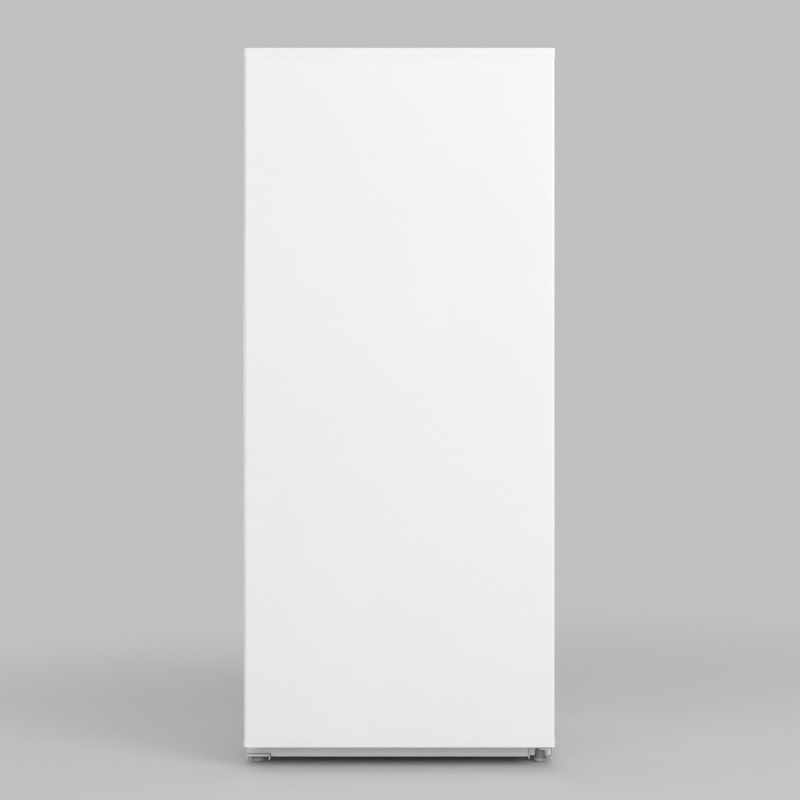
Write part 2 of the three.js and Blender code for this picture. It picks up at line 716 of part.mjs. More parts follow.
/** The left foot's bracket: two legs under the cabinet and the plate that its stud runs in. */
function footBracket() {
  const top = CABINET.underside - CLEARANCE;
  const [outer, inner] = [-railOuter, -halfWidth + BRACKET.width];
  const [legFront, back] = [cabinetFront + BRACKET.legSetback, cabinetFront + BRACKET.depth];
  const [bottom, plateTop] = [LEFT_FOOT.plateBottom, LEFT_FOOT.plateBottom + LEFT_FOOT.plate];
  const front = cabinetFront - LEFT_FOOT.ahead;
  const corner = LEFT_FOOT.corner;
  const nut = FOOT.stud + FOOT.nutWall;
  const plate = rounded([
    [outer, front, corner],
    [inner, front, corner],
    [inner, back],
    [outer, back],
  ]);
  const leg = (x) => block(x, [legFront, back], [LEFT_FOOT.legBottom, top]);
  const body = join(
    prism(plate, "z", bottom, plateTop),
    leg([outer, outer + BRACKET.wall]),
    leg([inner - BRACKET.wall, inner]),
    block([outer, inner], [back - BRACKET.wall, back], [bottom, top]),
    rod(-studX, studY, nut, "z", bottom, plateTop + FOOT.nutHeight, SIDES.nut),
  );
  return cut(body, rod(-studX, studY, FOOT.stud + FOOT.play, "z", 0, CABINET.underside));
}

/** The bottom hinge: a channel under the cabinet with a tongue ahead of it for the pin. */
function bottomHingeBracket() {
  const top = CABINET.underside - CLEARANCE;
  const bottom = top - BRACKET.plate;
  const [inner, outer] = [halfWidth - BRACKET.width, railOuter];
  const [front, back] = [cabinetFront - BRACKET.ahead, cabinetFront + BRACKET.depth];
  const [left, right, tip] = [hingeX - TONGUE.left, hingeX + TONGUE.right, hingeY - TONGUE.front];
  const tongue = rounded([
    [left, tip, TONGUE.corner],
    [right, tip, TONGUE.corner],
    [right, front + TONGUE.overlap],
    [left, front + TONGUE.overlap],
  ]);
  const leg = (x) => block(x, [cabinetFront + BRACKET.legSetback, back], [BRACKET.bottom, top]);
  const body = join(
    block([inner, outer], [front, back], [bottom, top]),
    prism(tongue, "z", bottom, top),
    leg([inner, inner + BRACKET.wall]),
    leg([outer - BRACKET.wall, outer]),
    rod(studX, studY, FOOT.stud + FOOT.nutWall, "z", bottom - FOOT.nutHeight, top, SIDES.nut),
  );
  return cut(
    body,
    rod(studX, studY, FOOT.stud + FOOT.play, "z", 0, CABINET.underside),
    rod(hingeX, hingeY, HINGE.pin + CLEARANCE, "z", 0, CABINET.underside),
  );
}

/** The bottom hinge pin, headed under the tongue, with the collar that the door stands on. */
function bottomHingePin() {
  const head = pinSeat - BRACKET.plate - CLEARANCE;
  const foot = head - HINGE.pinHeadHeight;
  const collar = [pinSeat + CLEARANCE, doorRest - CLEARANCE];
  return join(
    rod(hingeX, hingeY, HINGE.pin, "z", foot, doorRest + BOTTOM_PIN.engaged, SIDES.pin),
    rod(hingeX, hingeY, HINGE.pin + HINGE.pinHead, "z", foot, head, SIDES.pin),
    rod(hingeX, hingeY, HINGE.pin + BOTTOM_PIN.collar, "z", ...collar, SIDES.pin),
  );
}

/** The shape shared by the top hinge's plate and its cover, grown by the given amount. */
function topHingeShape(grow, low, high) {
  const right = hingeX - TOP_PLATE.fromPin;
  const front = cabinetFront + TOP_PLATE.fromFront;
  const x = [right - TOP_PLATE.length, right];
  const y = [front, front + TOP_PLATE.depth];
  const base = rectangle(grown(x, grow), grown(y, grow), TOP_PLATE.corner);
  const middle = new THREE.Vector2((x[0] + x[1]) / 2, (y[0] + y[1]) / 2);
  const pin = new THREE.Vector2(hingeX, hingeY);
  const half = TOP_PLATE.arm + grow;
  const aside = middle.clone().sub(pin).rotateAround(new THREE.Vector2(), Math.PI / 2).setLength(half);
  const arm = [pin.clone().add(aside), middle.clone().add(aside), middle.sub(aside), pin.sub(aside)];
  return join(
    prism(base, "z", low, high),
    prism(arm.map((p) => [p.x, p.y]), "z", low, high),
    rod(hingeX, hingeY, half, "z", low, high, SIDES.dial),
  );
}

const topPlateTop = CABINET.top + TOP_PLATE.thick;

function topHingePlate() {
  const hole = [CABINET.top - OVERCUT, topPlateTop + OVERCUT];
  return cut(
    topHingeShape(0, CABINET.top, topPlateTop),
    rod(hingeX, hingeY, HINGE.pin + CLEARANCE, "z", ...hole),
  );
}

function topHingePin() {
  const top = topPlateTop + HINGE.pinHeadHeight;
  return join(
    rod(hingeX, hingeY, HINGE.pin, "z", topPlateTop - BUSHING.length, top, SIDES.pin),
    rod(hingeX, hingeY, HINGE.pin + HINGE.pinHead, "z", topPlateTop + CLEARANCE, top, SIDES.pin),
  );
}

function topHingeCover() {
  const { margin, wall } = TOP_COVER;
  const top = CABINET.top + TOP_COVER.height;
  return cut(
    topHingeShape(margin, CABINET.top, top),
    topHingeShape(margin - wall, CABINET.top - OVERCUT, top - wall),
  );
}

// ---------------------------------------------------------------- feet and rollers

/** A levelling foot: a domed pad, a grip barrel and the stud that screws into its bracket. */
function foot(barrelTop, studTop) {
  const profile = [
    [0, 0],
    [FOOT.flat, 0],
    [FOOT.radius - FOOT.edge, FOOT.edgeHeight],
    [FOOT.radius, FOOT.rim - FOOT.band],
    [FOOT.radius, FOOT.rim],
    [FOOT.barrel, FOOT.rim + FOOT.shoulder],
    [FOOT.barrel, barrelTop],
    [FOOT.stud, barrelTop],
    [FOOT.stud, studTop],
    [0, studTop],
  ];
  return turned(0, 0, profile, SIDES.foot);
}

function leftFoot() {
  const { plateBottom, plate, gap, stud } = LEFT_FOOT;
  return foot(plateBottom - gap, plateBottom + plate + stud);
}

function rightFoot() {
  const nutBottom = pinSeat - BRACKET.plate - FOOT.nutHeight;
  return foot(nutBottom - RIGHT_FOOT.barrelGap, CABINET.underside + RIGHT_FOOT.studAbove);
}

/** A rear roller about its own centre, turning about X. Its flats lie on the rolling radius. */
function roller() {
  const half = ROLLER.width / 2;
  const corner = ROLLER.radius / Math.cos(Math.PI / SIDES.wheel);
  const bore = rod(0, 0, ROLLER.axle + ROLLER.play, "x", ...grown([-half, half], OVERCUT));
  return cut(rod(0, 0, corner, "x", -half, half, SIDES.wheel), bore);
}

// ---------------------------------------------------------------- shelves and drawer

/** A shelf's frame about its own middle, its underside at Z = 0, with a rebate for the glass. */
function shelfFrame() {
  const half = [innerHalf - SHELF.sideGap, (shelfBack - shelfFront) / 2];
  const [x, y] = half.map((v) => [-v, v]);
  const above = SHELF.height + OVERCUT;
  const seat = SHELF.height - SHELF.glass - CLEARANCE;
  const opening = [x, y].map((range) => grown(range, -SHELF.rail));
  const rebate = opening.map((range) => grown(range, SHELF.rebate));
  return cut(
    prism(rectangle(x, y, SHELF.corner), "z", 0, SHELF.height),
    block(...opening, [-OVERCUT, above]),
    block(...rebate, [seat, above]),
  );
}

function shelfGlass() {
  const inset = SHELF.rail - SHELF.rebate + CLEARANCE;
  const half = [innerHalf - SHELF.sideGap, (shelfBack - shelfFront) / 2].map((v) => v - inset);
  const [x, y] = half.map((v) => [-v, v]);
  return block(x, y, [SHELF.height - SHELF.glass, SHELF.height]);
}

/** The drawer ahead of the step: open at the top, a grip along its front, a rim on each side. */
function drawer() {
  const bottom = innerFloor + DRAWER.floorGap;
  const [x, y] = [[-drawerHalf, drawerHalf], [drawerFront, drawerBack]];
  const wall = DRAWER.wall;
  const hollow = rectangle(grown(x, -wall), grown(y, -wall), DRAWER.corner - wall);
  const shell = cut(
    prism(rectangle(x, y, DRAWER.corner), "z", bottom, drawerTop),
    prism(hollow, "z", bottom + wall, drawerTop + OVERCUT),
  );
  const rimBottom = drawerRail + CLEARANCE;
  const rims = [-1, 1].map((side) =>
    block(
      span(side, drawerHalf - wall / 2, innerHalf - DRAWER.rimSideGap),
      [drawerFront + DRAWER.rimFront, drawerBack - DRAWER.rimRear],
      [rimBottom, rimBottom + DRAWER.rimThick],
    ),
  );
  const grip = block(
    [-DRAWER.gripHalf, DRAWER.gripHalf],
    [drawerFront + wall / 2, drawerFront + DRAWER.gripDepth],
    [drawerTop - wall, drawerTop],
  );
  return join(shell, ...rims, grip);
}

// ---------------------------------------------------------------- cold air parts

/** The evaporator's cover, open behind and below: air slots, the fan's grille and the returns. */
function evaporatorCover() {
  const { wall } = COVER;
  const [x, y] = [[-coverHalf, coverHalf], [coverFront, innerBack]];
  const inside = block(
    grown(x, -wall),
    [coverFront + wall, innerBack + OVERCUT],
    [humpTop - OVERCUT, innerTop - wall],
  );
  const shell = cut(block(x, y, [humpTop, innerTop]), inside);
  const through = grown([coverFront, coverFront + wall], OVERCUT);
  const slots = shelfHeights.slice(1).flatMap((shelf) =>
    [-1, 1].map((side) => {
      const across = span(side, COVER_SLOT.inner, coverHalf - COVER_SLOT.sideMargin);
      const low = shelf + COVER_SLOT.aboveShelf;
      return block(across, through, [low, low + COVER_SLOT.height]);
    }),
  );
  const returnZ = humpTop + RETURN_SLOT.aboveFloor;
  for (let i = 0; i < RETURN_SLOT.count; i += 1) {
    const middle = (i - (RETURN_SLOT.count - 1) / 2) * RETURN_SLOT.pitch;
    const across = [middle - RETURN_SLOT.width / 2, middle + RETURN_SLOT.width / 2];
    slots.push(block(across, through, [returnZ, returnZ + RETURN_SLOT.height]));
  }
  const fanHole = rod(0, FAN.height, FAN.radius + GRILLE.margin, "y", ...through, SIDES.wheel);
  const barX = grown([-FAN.radius, FAN.radius], GRILLE.margin + GRILLE.overlap);
  const barY = grown([coverFront, coverFront + wall], -GRILLE.recess);
  const bars = Array.from({ length: GRILLE.bars }, (_, i) => {
    const middle = FAN.height + (i - (GRILLE.bars - 1) / 2) * GRILLE.pitch;
    return block(barX, barY, [middle - GRILLE.bar / 2, middle + GRILLE.bar / 2]);
  });
  return join(cut(shell, ...slots, fanHole), ...bars).intersect(foodSpace(-CLEARANCE));
}

/** The evaporator's fins: a row of plates on one backing sheet. */
function evaporatorFins() {
  const back = innerBack - CLEARANCE;
  const [tip, root] = [back - COIL.depth, back - COIL.backing];
  const pitch = (2 * coilHalf - COIL.fin) / (COIL.fins - 1);
  const outline = [[coilHalf, back], [-coilHalf, back]];
  for (let i = 0; i < COIL.fins; i += 1) {
    const [left, right] = [-coilHalf + i * pitch, -coilHalf + i * pitch + COIL.fin];
    if (i > 0) outline.push([left, root]);
    outline.push([left, tip], [right, tip]);
    if (i < COIL.fins - 1) outline.push([right, root]);
  }
  return prism(outline, "z", COIL.bottom, COIL.bottom + COIL.height);
}

/** The defrost heater: a hairpin rod just under the fins. */
function defrostHeater() {
  const reach = coilHalf - HEATER.inset;
  const z = COIL.bottom - HEATER.radius - CLEARANCE;
  const rear = innerBack - HEATER.behind;
  const front = rear - HEATER.spread;
  const corners = [[-reach, rear, z], [reach, rear, z], [reach, front, z], [-reach, front, z]];
  return tube(bent(corners, HEATER.bend), HEATER.radius);
}

const fanFront = coverFront + COVER.wall + FAN.behindCover;
const motorFront = fanFront + FAN.hubDepth + FAN_MOTOR.hubGap;

/** The fan's motor on a strap that stands off the back of the cover. */
function fanMotor() {
  const reach = FAN.radius + FAN_MOTOR.reach;
  const back = motorFront + FAN_MOTOR.length;
  const strapX = [-FAN_MOTOR.strap / 2, FAN_MOTOR.strap / 2];
  const strap = block(strapX, [back, back + FAN_MOTOR.sheet], [FAN.height - reach, FAN.height + reach]);
  const posts = [-1, 1].map((side) => {
    const z = span(side, reach - FAN_MOTOR.post, reach).map((v) => FAN.height + v);
    return block(strapX, [coverFront + COVER.wall + CLEARANCE, back + FAN_MOTOR.sheet], z);
  });
  const can = rod(0, FAN.height, FAN_MOTOR.radius, "y", motorFront, back + FAN_MOTOR.sheet / 2);
  const bore = [motorFront - OVERCUT, motorFront + FAN_SHAFT.bore];
  const hole = rod(0, FAN.height, FAN_SHAFT.radius + FAN_SHAFT.play, "y", ...bore, SIDES.shaft);
  return cut(join(strap, ...posts, can), hole);
}

/** The fan's hub, shaft and pitched blades, about its own axis with its front at Y = 0. */
function fanBlade() {
  const shaftEnd = FAN.hubDepth + FAN_SHAFT.length;
  const hub = join(
    rod(0, 0, FAN.hub, "y", 0, FAN.hubDepth),
    rod(0, 0, FAN_SHAFT.radius, "y", FAN.hubDepth - OVERCUT, shaftEnd, SIDES.shaft),
  );
  const root = FAN.hub - FAN_BLADE.overlap;
  const blade = new THREE.BoxGeometry(FAN_BLADE.chord, FAN_BLADE.thick, FAN.radius - root);
  blade.rotateZ(FAN_BLADE.pitch).translate(0, FAN_BLADE.front, (FAN.radius + root) / 2);
  const blades = Array.from({ length: FAN.blades }, (_, i) =>
    solidFrom(blade.clone().rotateY((2 * Math.PI * i) / FAN.blades)),
  );
  return join(hub, ...blades);
}

// ---------------------------------------------------------------- control and lamp

const controlFront = shelfFront + CONTROL.behindShelfEdge;
const controlTop = innerTop - CLEARANCE;
const controlBottom = controlTop - CONTROL.height;
const knobZ = controlTop - CONTROL.height / 2;
const lensX = [LENS.left, LENS.right];
const lensY = [controlFront + LENS.front, controlFront + LENS.rear];

/** The control housing on the ceiling, open against it, with a window for the lamp. */
function controlHousing() {
  const { wall, corner } = CONTROL;
  const x = [-CONTROL.width / 2, CONTROL.width / 2];
  const y = [controlFront, controlFront + CONTROL.depth];
  const hollow = rectangle(grown(x, -wall), grown(y, -wall), corner - wall);
  const front = grown([controlFront, controlFront + wall], OVERCUT);
  return cut(
    prism(rectangle(x, y, corner), "z", controlBottom, controlTop),
    prism(hollow, "z", controlBottom + wall, controlTop + OVERCUT),
    block(lensX, lensY, grown([controlBottom, controlBottom + wall], OVERCUT)),
    rod(KNOB.x, knobZ, KNOB.shaft + KNOB.play, "y", ...front),
  );
}

/** The lamp's lens, clipped in from above. */
function lampLens() {
  const rim = controlBottom + CONTROL.wall + CLEARANCE;
  const window = [lensX, lensY].map((range) => grown(range, -CLEARANCE));
  const flange = [lensX, lensY].map((range) => grown(range, LENS.margin));
  return join(
    block(...window, [controlBottom, rim + LENS.overlap]),
    block(...flange, [rim, rim + LENS.thick]),
  );
}

/** The temperature knob about its own axis, its back at Y = 0 and its grip towards -Y. */
function temperatureKnob() {
  const gripHeight = KNOB.radius - KNOB.inset;
  const grip = block(
    [-KNOB.gripHalf, KNOB.gripHalf],
    [-KNOB.grip, -KNOB.dial / 2],
    [-gripHeight, gripHeight],
  );
  const shaft = [-KNOB_SHAFT.overlap, CONTROL.wall + KNOB_SHAFT.inside];
  return join(
    rod(0, 0, KNOB.radius, "y", -KNOB.dial, 0, SIDES.dial),
    grip,
    rod(0, 0, KNOB.shaft, "y", ...shaft, SIDES.shaft),
  );
}

// ---------------------------------------------------------------- machine room

/** The hermetic compressor: a domed can with a weld seam on a base plate. */
function compressor() {
  const { radius, shoulder, crown } = COMPRESSOR;
  const canBase = compressorBase + COMPRESSOR.plate;
  const seam = canBase + COMPRESSOR.height * COMPRESSOR.seamAt;
  const [seamLow, seamHigh] = grown([seam, seam], COMPRESSOR.seamHalf);
  const profile = [
    [0, compressorBase],
    [radius - COMPRESSOR.foot, compressorBase],
    [canRadius, canBase + COMPRESSOR.footHeight],
    [canRadius, seamLow],
    [radius, seamLow],
    [radius, seamHigh],
    [canRadius, seamHigh],
    [canRadius, compressorTop - crown.drop],
    [radius - shoulder.inset, compressorTop - shoulder.drop],
    [radius - crown.inset, compressorTop],
    [0, compressorTop],
  ];
  const plate = rectangle(
    grown([compressorX - radius, compressorX + radius], COMPRESSOR.plateMargin),
    grown([compressorY - radius, compressorY + radius], -COMPRESSOR.plateInset),
    COMPRESSOR.plateCorner,
  );
  return join(
    turned(compressorX, compressorY, profile, SIDES.can),
    prism(plate, "z", compressorBase, canBase),
  );
}

/** The box over the compressor's terminals, open towards the can. */
function terminalCover() {
  const { width, depth, wall } = TERMINALS;
  const right = compressorX - canRadius - CLEARANCE;
  const y = [compressorY - width / 2, compressorY + width / 2];
  const z = [compressorBase + TERMINALS.bottom, compressorBase + TERMINALS.top];
  const hollow = [right - depth + wall, right + OVERCUT];
  return cut(
    block([right - depth, right], y, z),
    block(hollow, grown(y, -wall), grown(z, -wall)),
  );
}

/** The pan on the compressor where defrost water dries off. */
function evaporationPan() {
  const { wall, corner } = PAN;
  const middle = compressorX - PAN.offset;
  const x = [middle - PAN.length / 2, middle + PAN.length / 2];
  const y = [stepFront + PAN.front, innerBack - PAN.rear];
  const bottom = compressorTop + CLEARANCE;
  const top = bottom + PAN.height;
  const hollow = rectangle(grown(x, -wall), grown(y, -wall), corner - wall);
  return cut(
    prism(rectangle(x, y, corner), "z", bottom, top),
    prism(hollow, "z", bottom + wall, top + OVERCUT),
  );
}

/** The drain from the step's floor through the foam into the pan, flanged at its top. */
function drainTube() {
  const low = compressorTop + PAN.height - DRAIN.dip;
  const top = humpTop + DRAIN.flangeThick;
  const body = join(
    rod(drainX, drainY, DRAIN.radius, "z", low, top, SIDES.pin),
    rod(drainX, drainY, DRAIN.radius + DRAIN.flange, "z", humpTop + CLEARANCE, top, SIDES.pin),
  );
  return cut(body, rod(drainX, drainY, DRAIN.bore, "z", ...grown([low, top], OVERCUT), SIDES.pin));
}

function drierFilter() {
  const { radius, bottom, taper } = DRIER;
  const top = bottom + DRIER.height;
  const profile = [
    [0, bottom],
    [DRIER.inlet, bottom],
    [radius, bottom + taper],
    [radius, top - taper],
    [COIL_TUBE.radius, top],
    [0, top],
  ];
  return turned(drierX, laneY, profile, SIDES.pin);
}

/** The louvred cover that closes the machine room at the rear. */
function machineRoomCover() {
  const { wall } = REAR_COVER;
  const x = [-railOuter, railOuter];
  const [front, back] = [cabinetBack + CLEARANCE, cabinetBack + REAR_COVER.standoff];
  const z = [coverBottom, stepTop + REAR_COVER.overlap];
  const shell = cut(
    block(x, [front, back], z),
    block(grown(x, -wall), [front - OVERCUT, back - wall], grown(z, -wall)),
  );
  const through = grown([back - wall, back], OVERCUT);
  const slots = [-1, 1].flatMap((side) =>
    Array.from({ length: REAR_COVER.rows }, (_, row) => {
      const across = span(side, REAR_COVER.slotInner, railOuter - REAR_COVER.slotMargin);
      const low = coverBottom + REAR_COVER.firstRow + row * REAR_COVER.rowPitch;
      return block(across, through, [low, low + REAR_COVER.slotHeight]);
    }),
  );
  return cut(shell, ...slots, rod(glandX, GLAND.height, GLAND.radius, "y", ...through));
}

/** The ring that lines the power cord's hole in the rear cover. */
function cordGland() {
  const back = cabinetBack + REAR_COVER.standoff;
  const sheet = back - REAR_COVER.wall;
  const front = sheet - GLAND.depth;
  const ring = join(
    rod(glandX, GLAND.height, GLAND.radius - CLEARANCE, "y", front, back),
    rod(glandX, GLAND.height, GLAND.radius + GLAND.flange, "y", front, sheet - CLEARANCE),
  );
  const through = grown([front, back], OVERCUT);
  return cut(ring, rod(glandX, GLAND.height, GLAND.bore, "y", ...through, SIDES.pin));
}

// ---------------------------------------------------------------- door

/** The door's plan, set in all round by inset: rounded front edges, square behind. */
function doorOutline(inset) {
  const side = halfWidth - inset;
  const front = [doorFront + inset, DOOR.edge - inset];
  const back = doorBack - inset;
  return rounded([[-side, ...front], [side, ...front], [side, back], [-side, back]]);
}

/** The plan of an end cap, a little wider than the door and rounded behind too. */
function capOutline({ proud, corner }) {
  const side = halfWidth + proud;
  return rounded([
    [-side, doorFront, DOOR.edge],
    [side, doorFront, DOOR.edge],
    [side, doorBack, corner],
    [-side, doorBack, corner],
  ]);
}

const handleY = [doorBack - HANDLE.fromBack - HANDLE.width, doorBack - HANDLE.fromBack];
const handleZ = [HANDLE.bottom, HANDLE.bottom + HANDLE.height];
const handleHollow = block([-halfWidth - OVERCUT, -halfWidth + HANDLE.depth], handleY, handleZ);

/** The handle pocket's outside, from the door's skin inwards, grown by the given amount. */
function handleOutside(grow) {
  const room = HANDLE.wall + grow;
  const across = [-sheetInner - grow, -halfWidth + HANDLE.depth + room];
  return block(across, grown(handleY, room), grown(handleZ, room));
}

function doorSkin() {
  const mouthHalf = halfWidth - DOOR.skinReturn;
  const height = [skinBottom, skinTop];
  const mouth = block(
    [-mouthHalf, mouthHalf],
    grown([doorBack - CABINET.sheet, doorBack], OVERCUT),
    grown(height, OVERCUT),
  );
  return cut(
    prism(doorOutline(0), "z", ...height),
    prism(doorOutline(CABINET.sheet), "z", ...grown(height, OVERCUT)),
    mouth,
    handleHollow,
  );
}

/** The liner's relief behind the door, set in by inset: the flat plug and the frame for the bins. */
function linerRelief(inset) {
  const x = grown([-plugHalf, plugHalf], -inset);
  const height = grown([dykeBottom, plugTop], -inset);
  const depth = [doorBack, doorBack + DYKE.depth - inset];
  const plug = block(x, [doorBack, plugBack - inset], grown([plugBottom, plugTop], -inset));
  const middle = block(
    grown([-dykeInner, dykeInner], inset),
    grown(depth, OVERCUT),
    grown([dykeBottom + DYKE.width, plugTop - DYKE.width], inset),
  );
  const frame = cut(block(x, depth, height), middle);
  return join(plug, frame);
}

function doorLiner() {
  const half = halfWidth - DOOR.linerMargin;
  const plate = block(
    [-half, half],
    [doorBack, doorBack + LINER.wall],
    grown([skinBottom, skinTop], -DOOR.linerEndGap),
  );
  const ledges = binHeights.flatMap((bin) =>
    [-1, 1].map((side) =>
      block(
        span(side, dykeInner - BIN.ledge.reach, dykeInner + LINER.wall / 2),
        [plugBack - LINER.wall / 2, plugBack + BIN.ledge.depth],
        [bin - CLEARANCE - BIN.ledge.height, bin - CLEARANCE],
      ),
    ),
  );
  return join(cut(join(plate, linerRelief(0)), linerRelief(LINER.wall)), ...ledges);
}

const bushingRadius = HINGE.pin + BUSHING.bore + BUSHING.wall;
const bushingHole = (z) => rod(hingeX, hingeY, bushingRadius + CLEARANCE, "z", ...z);

/** The foam in the door, just clear of the skin, the caps and the liner. */
function doorFoam() {
  const skin = CABINET.sheet + CLEARANCE;
  const mouthHalf = halfWidth - DOOR.skinReturn - CLEARANCE;
  const height = grown([skinBottom, skinTop], -CLEARANCE);
  const core = join(
    prism(doorOutline(skin), "z", ...height),
    block([-mouthHalf, mouthHalf], [doorBack - skin - OVERCUT, doorBack - CLEARANCE], height),
    linerRelief(LINER.wall + CLEARANCE),
  );
  const neck = block(
    grown([-plugHalf, plugHalf], -LINER.wall - CLEARANCE),
    [doorBack - OVERCUT, doorBack + OVERCUT],
    grown([plugBottom, plugTop], -LINER.wall - CLEARANCE),
  );
  return cut(
    join(core, neck),
    handleOutside(CLEARANCE),
    bushingHole([skinBottom - OVERCUT, doorRest + BUSHING.length + CLEARANCE]),
    bushingHole([recessFloor - BUSHING.length - CLEARANCE, skinTop + OVERCUT]),
  );
}

/** The moulded cap on the door's top, hollow from below, with the pocket for the top hinge. */
function doorTopCap() {
  const { wall } = TOP_CAP;
  const left = hingeX - RECESS.left;
  const right = halfWidth + TOP_CAP.proud + OVERCUT;
  const recess = block(
    [left, right],
    [doorFront + RECESS.lip, doorBack + OVERCUT],
    [recessFloor, doorTop + OVERCUT],
  );
  const aroundRecess = block(
    [left - wall, right],
    [doorFront, doorBack],
    [recessFloor - wall, doorTop],
  );
  const cavity = prism(doorOutline(wall), "z", skinTop - OVERCUT, doorTop - wall);
  return cut(
    prism(capOutline(TOP_CAP), "z", skinTop, doorTop),
    recess,
    cut(cavity, aroundRecess),
    bushingHole([skinTop - OVERCUT, doorTop]),
  );
}

function doorBottomCap() {
  const { wall } = BOTTOM_CAP;
  return cut(
    prism(capOutline(BOTTOM_CAP), "z", DOOR.bottom, skinBottom),
    prism(doorOutline(wall), "z", DOOR.bottom + wall, skinBottom + OVERCUT),
    bushingHole(grown([DOOR.bottom, skinBottom], OVERCUT)),
  );
}

/** The magnetic seal: one ring on the door's liner that meets the cabinet's steel front. */
function doorGasket() {
  const half = hingeX - GASKET.pastHinge;
  const x = [-half, half];
  const y = [doorBack + LINER.wall + CLEARANCE, cabinetFront - CLEARANCE];
  const z = [skinBottom + GASKET.aboveSkin, CABINET.top - GASKET.belowTop];
  return cut(
    prism(rectangle(x, z, GASKET.corner), "y", ...y),
    block(grown(x, -GASKET.width), grown(y, OVERCUT), grown(z, -GASKET.width)),
  );
}

function handlePocket() {
  return cut(handleOutside(0), handleHollow);
}

/** A hinge bushing about its own axis, standing on Z = 0. */
function bushing() {
  const bore = rod(0, 0, HINGE.pin + BUSHING.bore, "z", ...grown([0, BUSHING.length], OVERCUT));
  return cut(rod(0, 0, bushingRadius, "z", 0, BUSHING.length), bore);
}

/** A door bin about its own middle: its floor at Z = 0, its back at Y = 0, open at the top. */
function doorBin() {
  const half = dykeInner - BIN.sideGap;
  const { depth, height, lowSide, wall, rim, footRadius, heelRadius } = BIN;
  const section = rounded([
    [0, 0, heelRadius],
    [depth, 0, footRadius],
    [depth, height, rim.radius],
    [depth - rim.depth, height, rim.radius],
    [0, lowSide],
  ]);
  const hollow = rounded([
    [wall, wall, heelRadius - wall],
    [depth - wall, wall, footRadius - wall],
    [depth - wall, height + OVERCUT],
    [wall, height + OVERCUT],
  ]);
  return cut(
    prism(section, "x", -half, half),
    prism(hollow, "x", ...grown([-half, half], -wall)),
  );
}

// ---------------------------------------------------------------- assembly

const freezer = new THREE.Group();

const cabinet = new THREE.Group();
cabinet.add(
  piece("cabinet_wrapper", "whitePaint", cabinetWrapper()),
  piece("cabinet_back_panel", "zincSteel", cabinetBackPanel()),
  piece("cabinet_bottom_panel", "zincSteel", cabinetBottomPanel()),
  piece("cabinet_foam", "foam", cabinetFoam()),
  piece("inner_liner", "whitePlastic", innerLiner()),
  piece("base_rail_left", "zincSteel", baseRail(-1)),
  piece("base_rail_right", "zincSteel", baseRail(1)),
  piece("compressor_tray", "zincSteel", compressorTray()),
  piece("kickplate", "greyPlastic", kickplate()),
  piece("front_foot_bracket", "greySteel", footBracket()),
  piece("bottom_hinge_bracket", "greySteel", bottomHingeBracket()),
  piece("bottom_hinge_pin", "zincSteel", bottomHingePin()),
  piece("top_hinge_plate", "zincSteel", topHingePlate()),
  piece("top_hinge_pin", "zincSteel", topHingePin()),
  piece("top_hinge_cover", "whitePlastic", topHingeCover()),
);
freezer.add(cabinet);

const supports = new THREE.Group();
supports.add(
  piece("front_foot_left", "greyPlastic", leftFoot(), [-studX, studY, 0]),
  piece("front_foot_right", "greyPlastic", rightFoot(), [studX, studY, 0]),
);
for (const [name, side] of [["rear_roller_left", -1], ["rear_roller_right", 1]]) {
  supports.add(piece(name, "blackPlastic", roller(), [side * rollerX, rollerY, ROLLER.radius]));
}
freezer.add(supports);

const coldParts = new THREE.Group();
coldParts.add(
  piece("evaporator_cover", "whitePlastic", evaporatorCover()),
  piece("evaporator_fins", "aluminium", evaporatorFins()),
  piece("evaporator_tube", "aluminium", tube(evaporatorPath, COIL_TUBE.radius)),
  piece("defrost_heater", "zincSteel", defrostHeater()),
  piece("evaporator_fan_motor", "zincSteel", fanMotor()),
  piece("evaporator_fan_blade", "blackPlastic", fanBlade(), [0, fanFront, FAN.height]),
  piece("control_housing", "whitePlastic", controlHousing()),
  piece("lamp_lens", "clearPlastic", lampLens()),
  piece("temperature_knob", "greyPlastic", temperatureKnob(), [
    KNOB.x,
    controlFront - CLEARANCE,
    knobZ,
  ]),
);
freezer.add(coldParts);

const machineParts = new THREE.Group();
machineParts.add(
  piece("compressor", "blackPaint", compressor()),
  piece("compressor_terminal_cover", "blackPlastic", terminalCover()),
  piece("suction_line", "copper", tube(suctionPath, SUCTION.radius)),
  piece("condenser_loop", "copper", tube(condenserPath, CONDENSER.radius)),
  piece("drier_filter", "copper", drierFilter()),
  piece("drain_tube", "greyPlastic", drainTube()),
  piece("evaporation_pan", "blackPlastic", evaporationPan()),
  piece("machine_room_cover", "zincSteel", machineRoomCover()),
  piece("cord_gland", "blackPlastic", cordGland()),
);
freezer.add(machineParts);

const storage = new THREE.Group();
shelfHeights.forEach((z, i) => {
  const place = [0, (shelfFront + shelfBack) / 2, z + CLEARANCE];
  storage.add(
    piece(`shelf_frame_${i + 1}`, "whitePlastic", shelfFrame(), place),
    piece(`shelf_glass_${i + 1}`, "glass", shelfGlass(), place),
  );
});
storage.add(piece("freezer_drawer", "clearPlastic", drawer()));
freezer.add(storage);

const door = new THREE.Group();
door.add(
  piece("door_skin", "whitePaint", doorSkin()),
  piece("door_top_cap", "whitePlastic", doorTopCap()),
  piece("door_bottom_cap", "whitePlastic", doorBottomCap()),
  piece("door_foam", "foam", doorFoam()),
  piece("door_liner", "whitePlastic", doorLiner()),
  piece("door_gasket", "gasket", doorGasket()),
  piece("door_handle_pocket", "whitePlastic", handlePocket()),
  piece("hinge_bushing_top", "greyPlastic", bushing(), [
    hingeX,
    hingeY,
    recessFloor - BUSHING.length,
  ]),
  piece("hinge_bushing_bottom", "greyPlastic", bushing(), [hingeX, hingeY, doorRest]),
);
binHeights.forEach((z, i) => {
  const place = [0, plugBack + BIN.behind, z];
  door.add(piece(`door_bin_${i + 1}`, "clearPlastic", doorBin(), place));
});
freezer.add(door);

export default freezer;
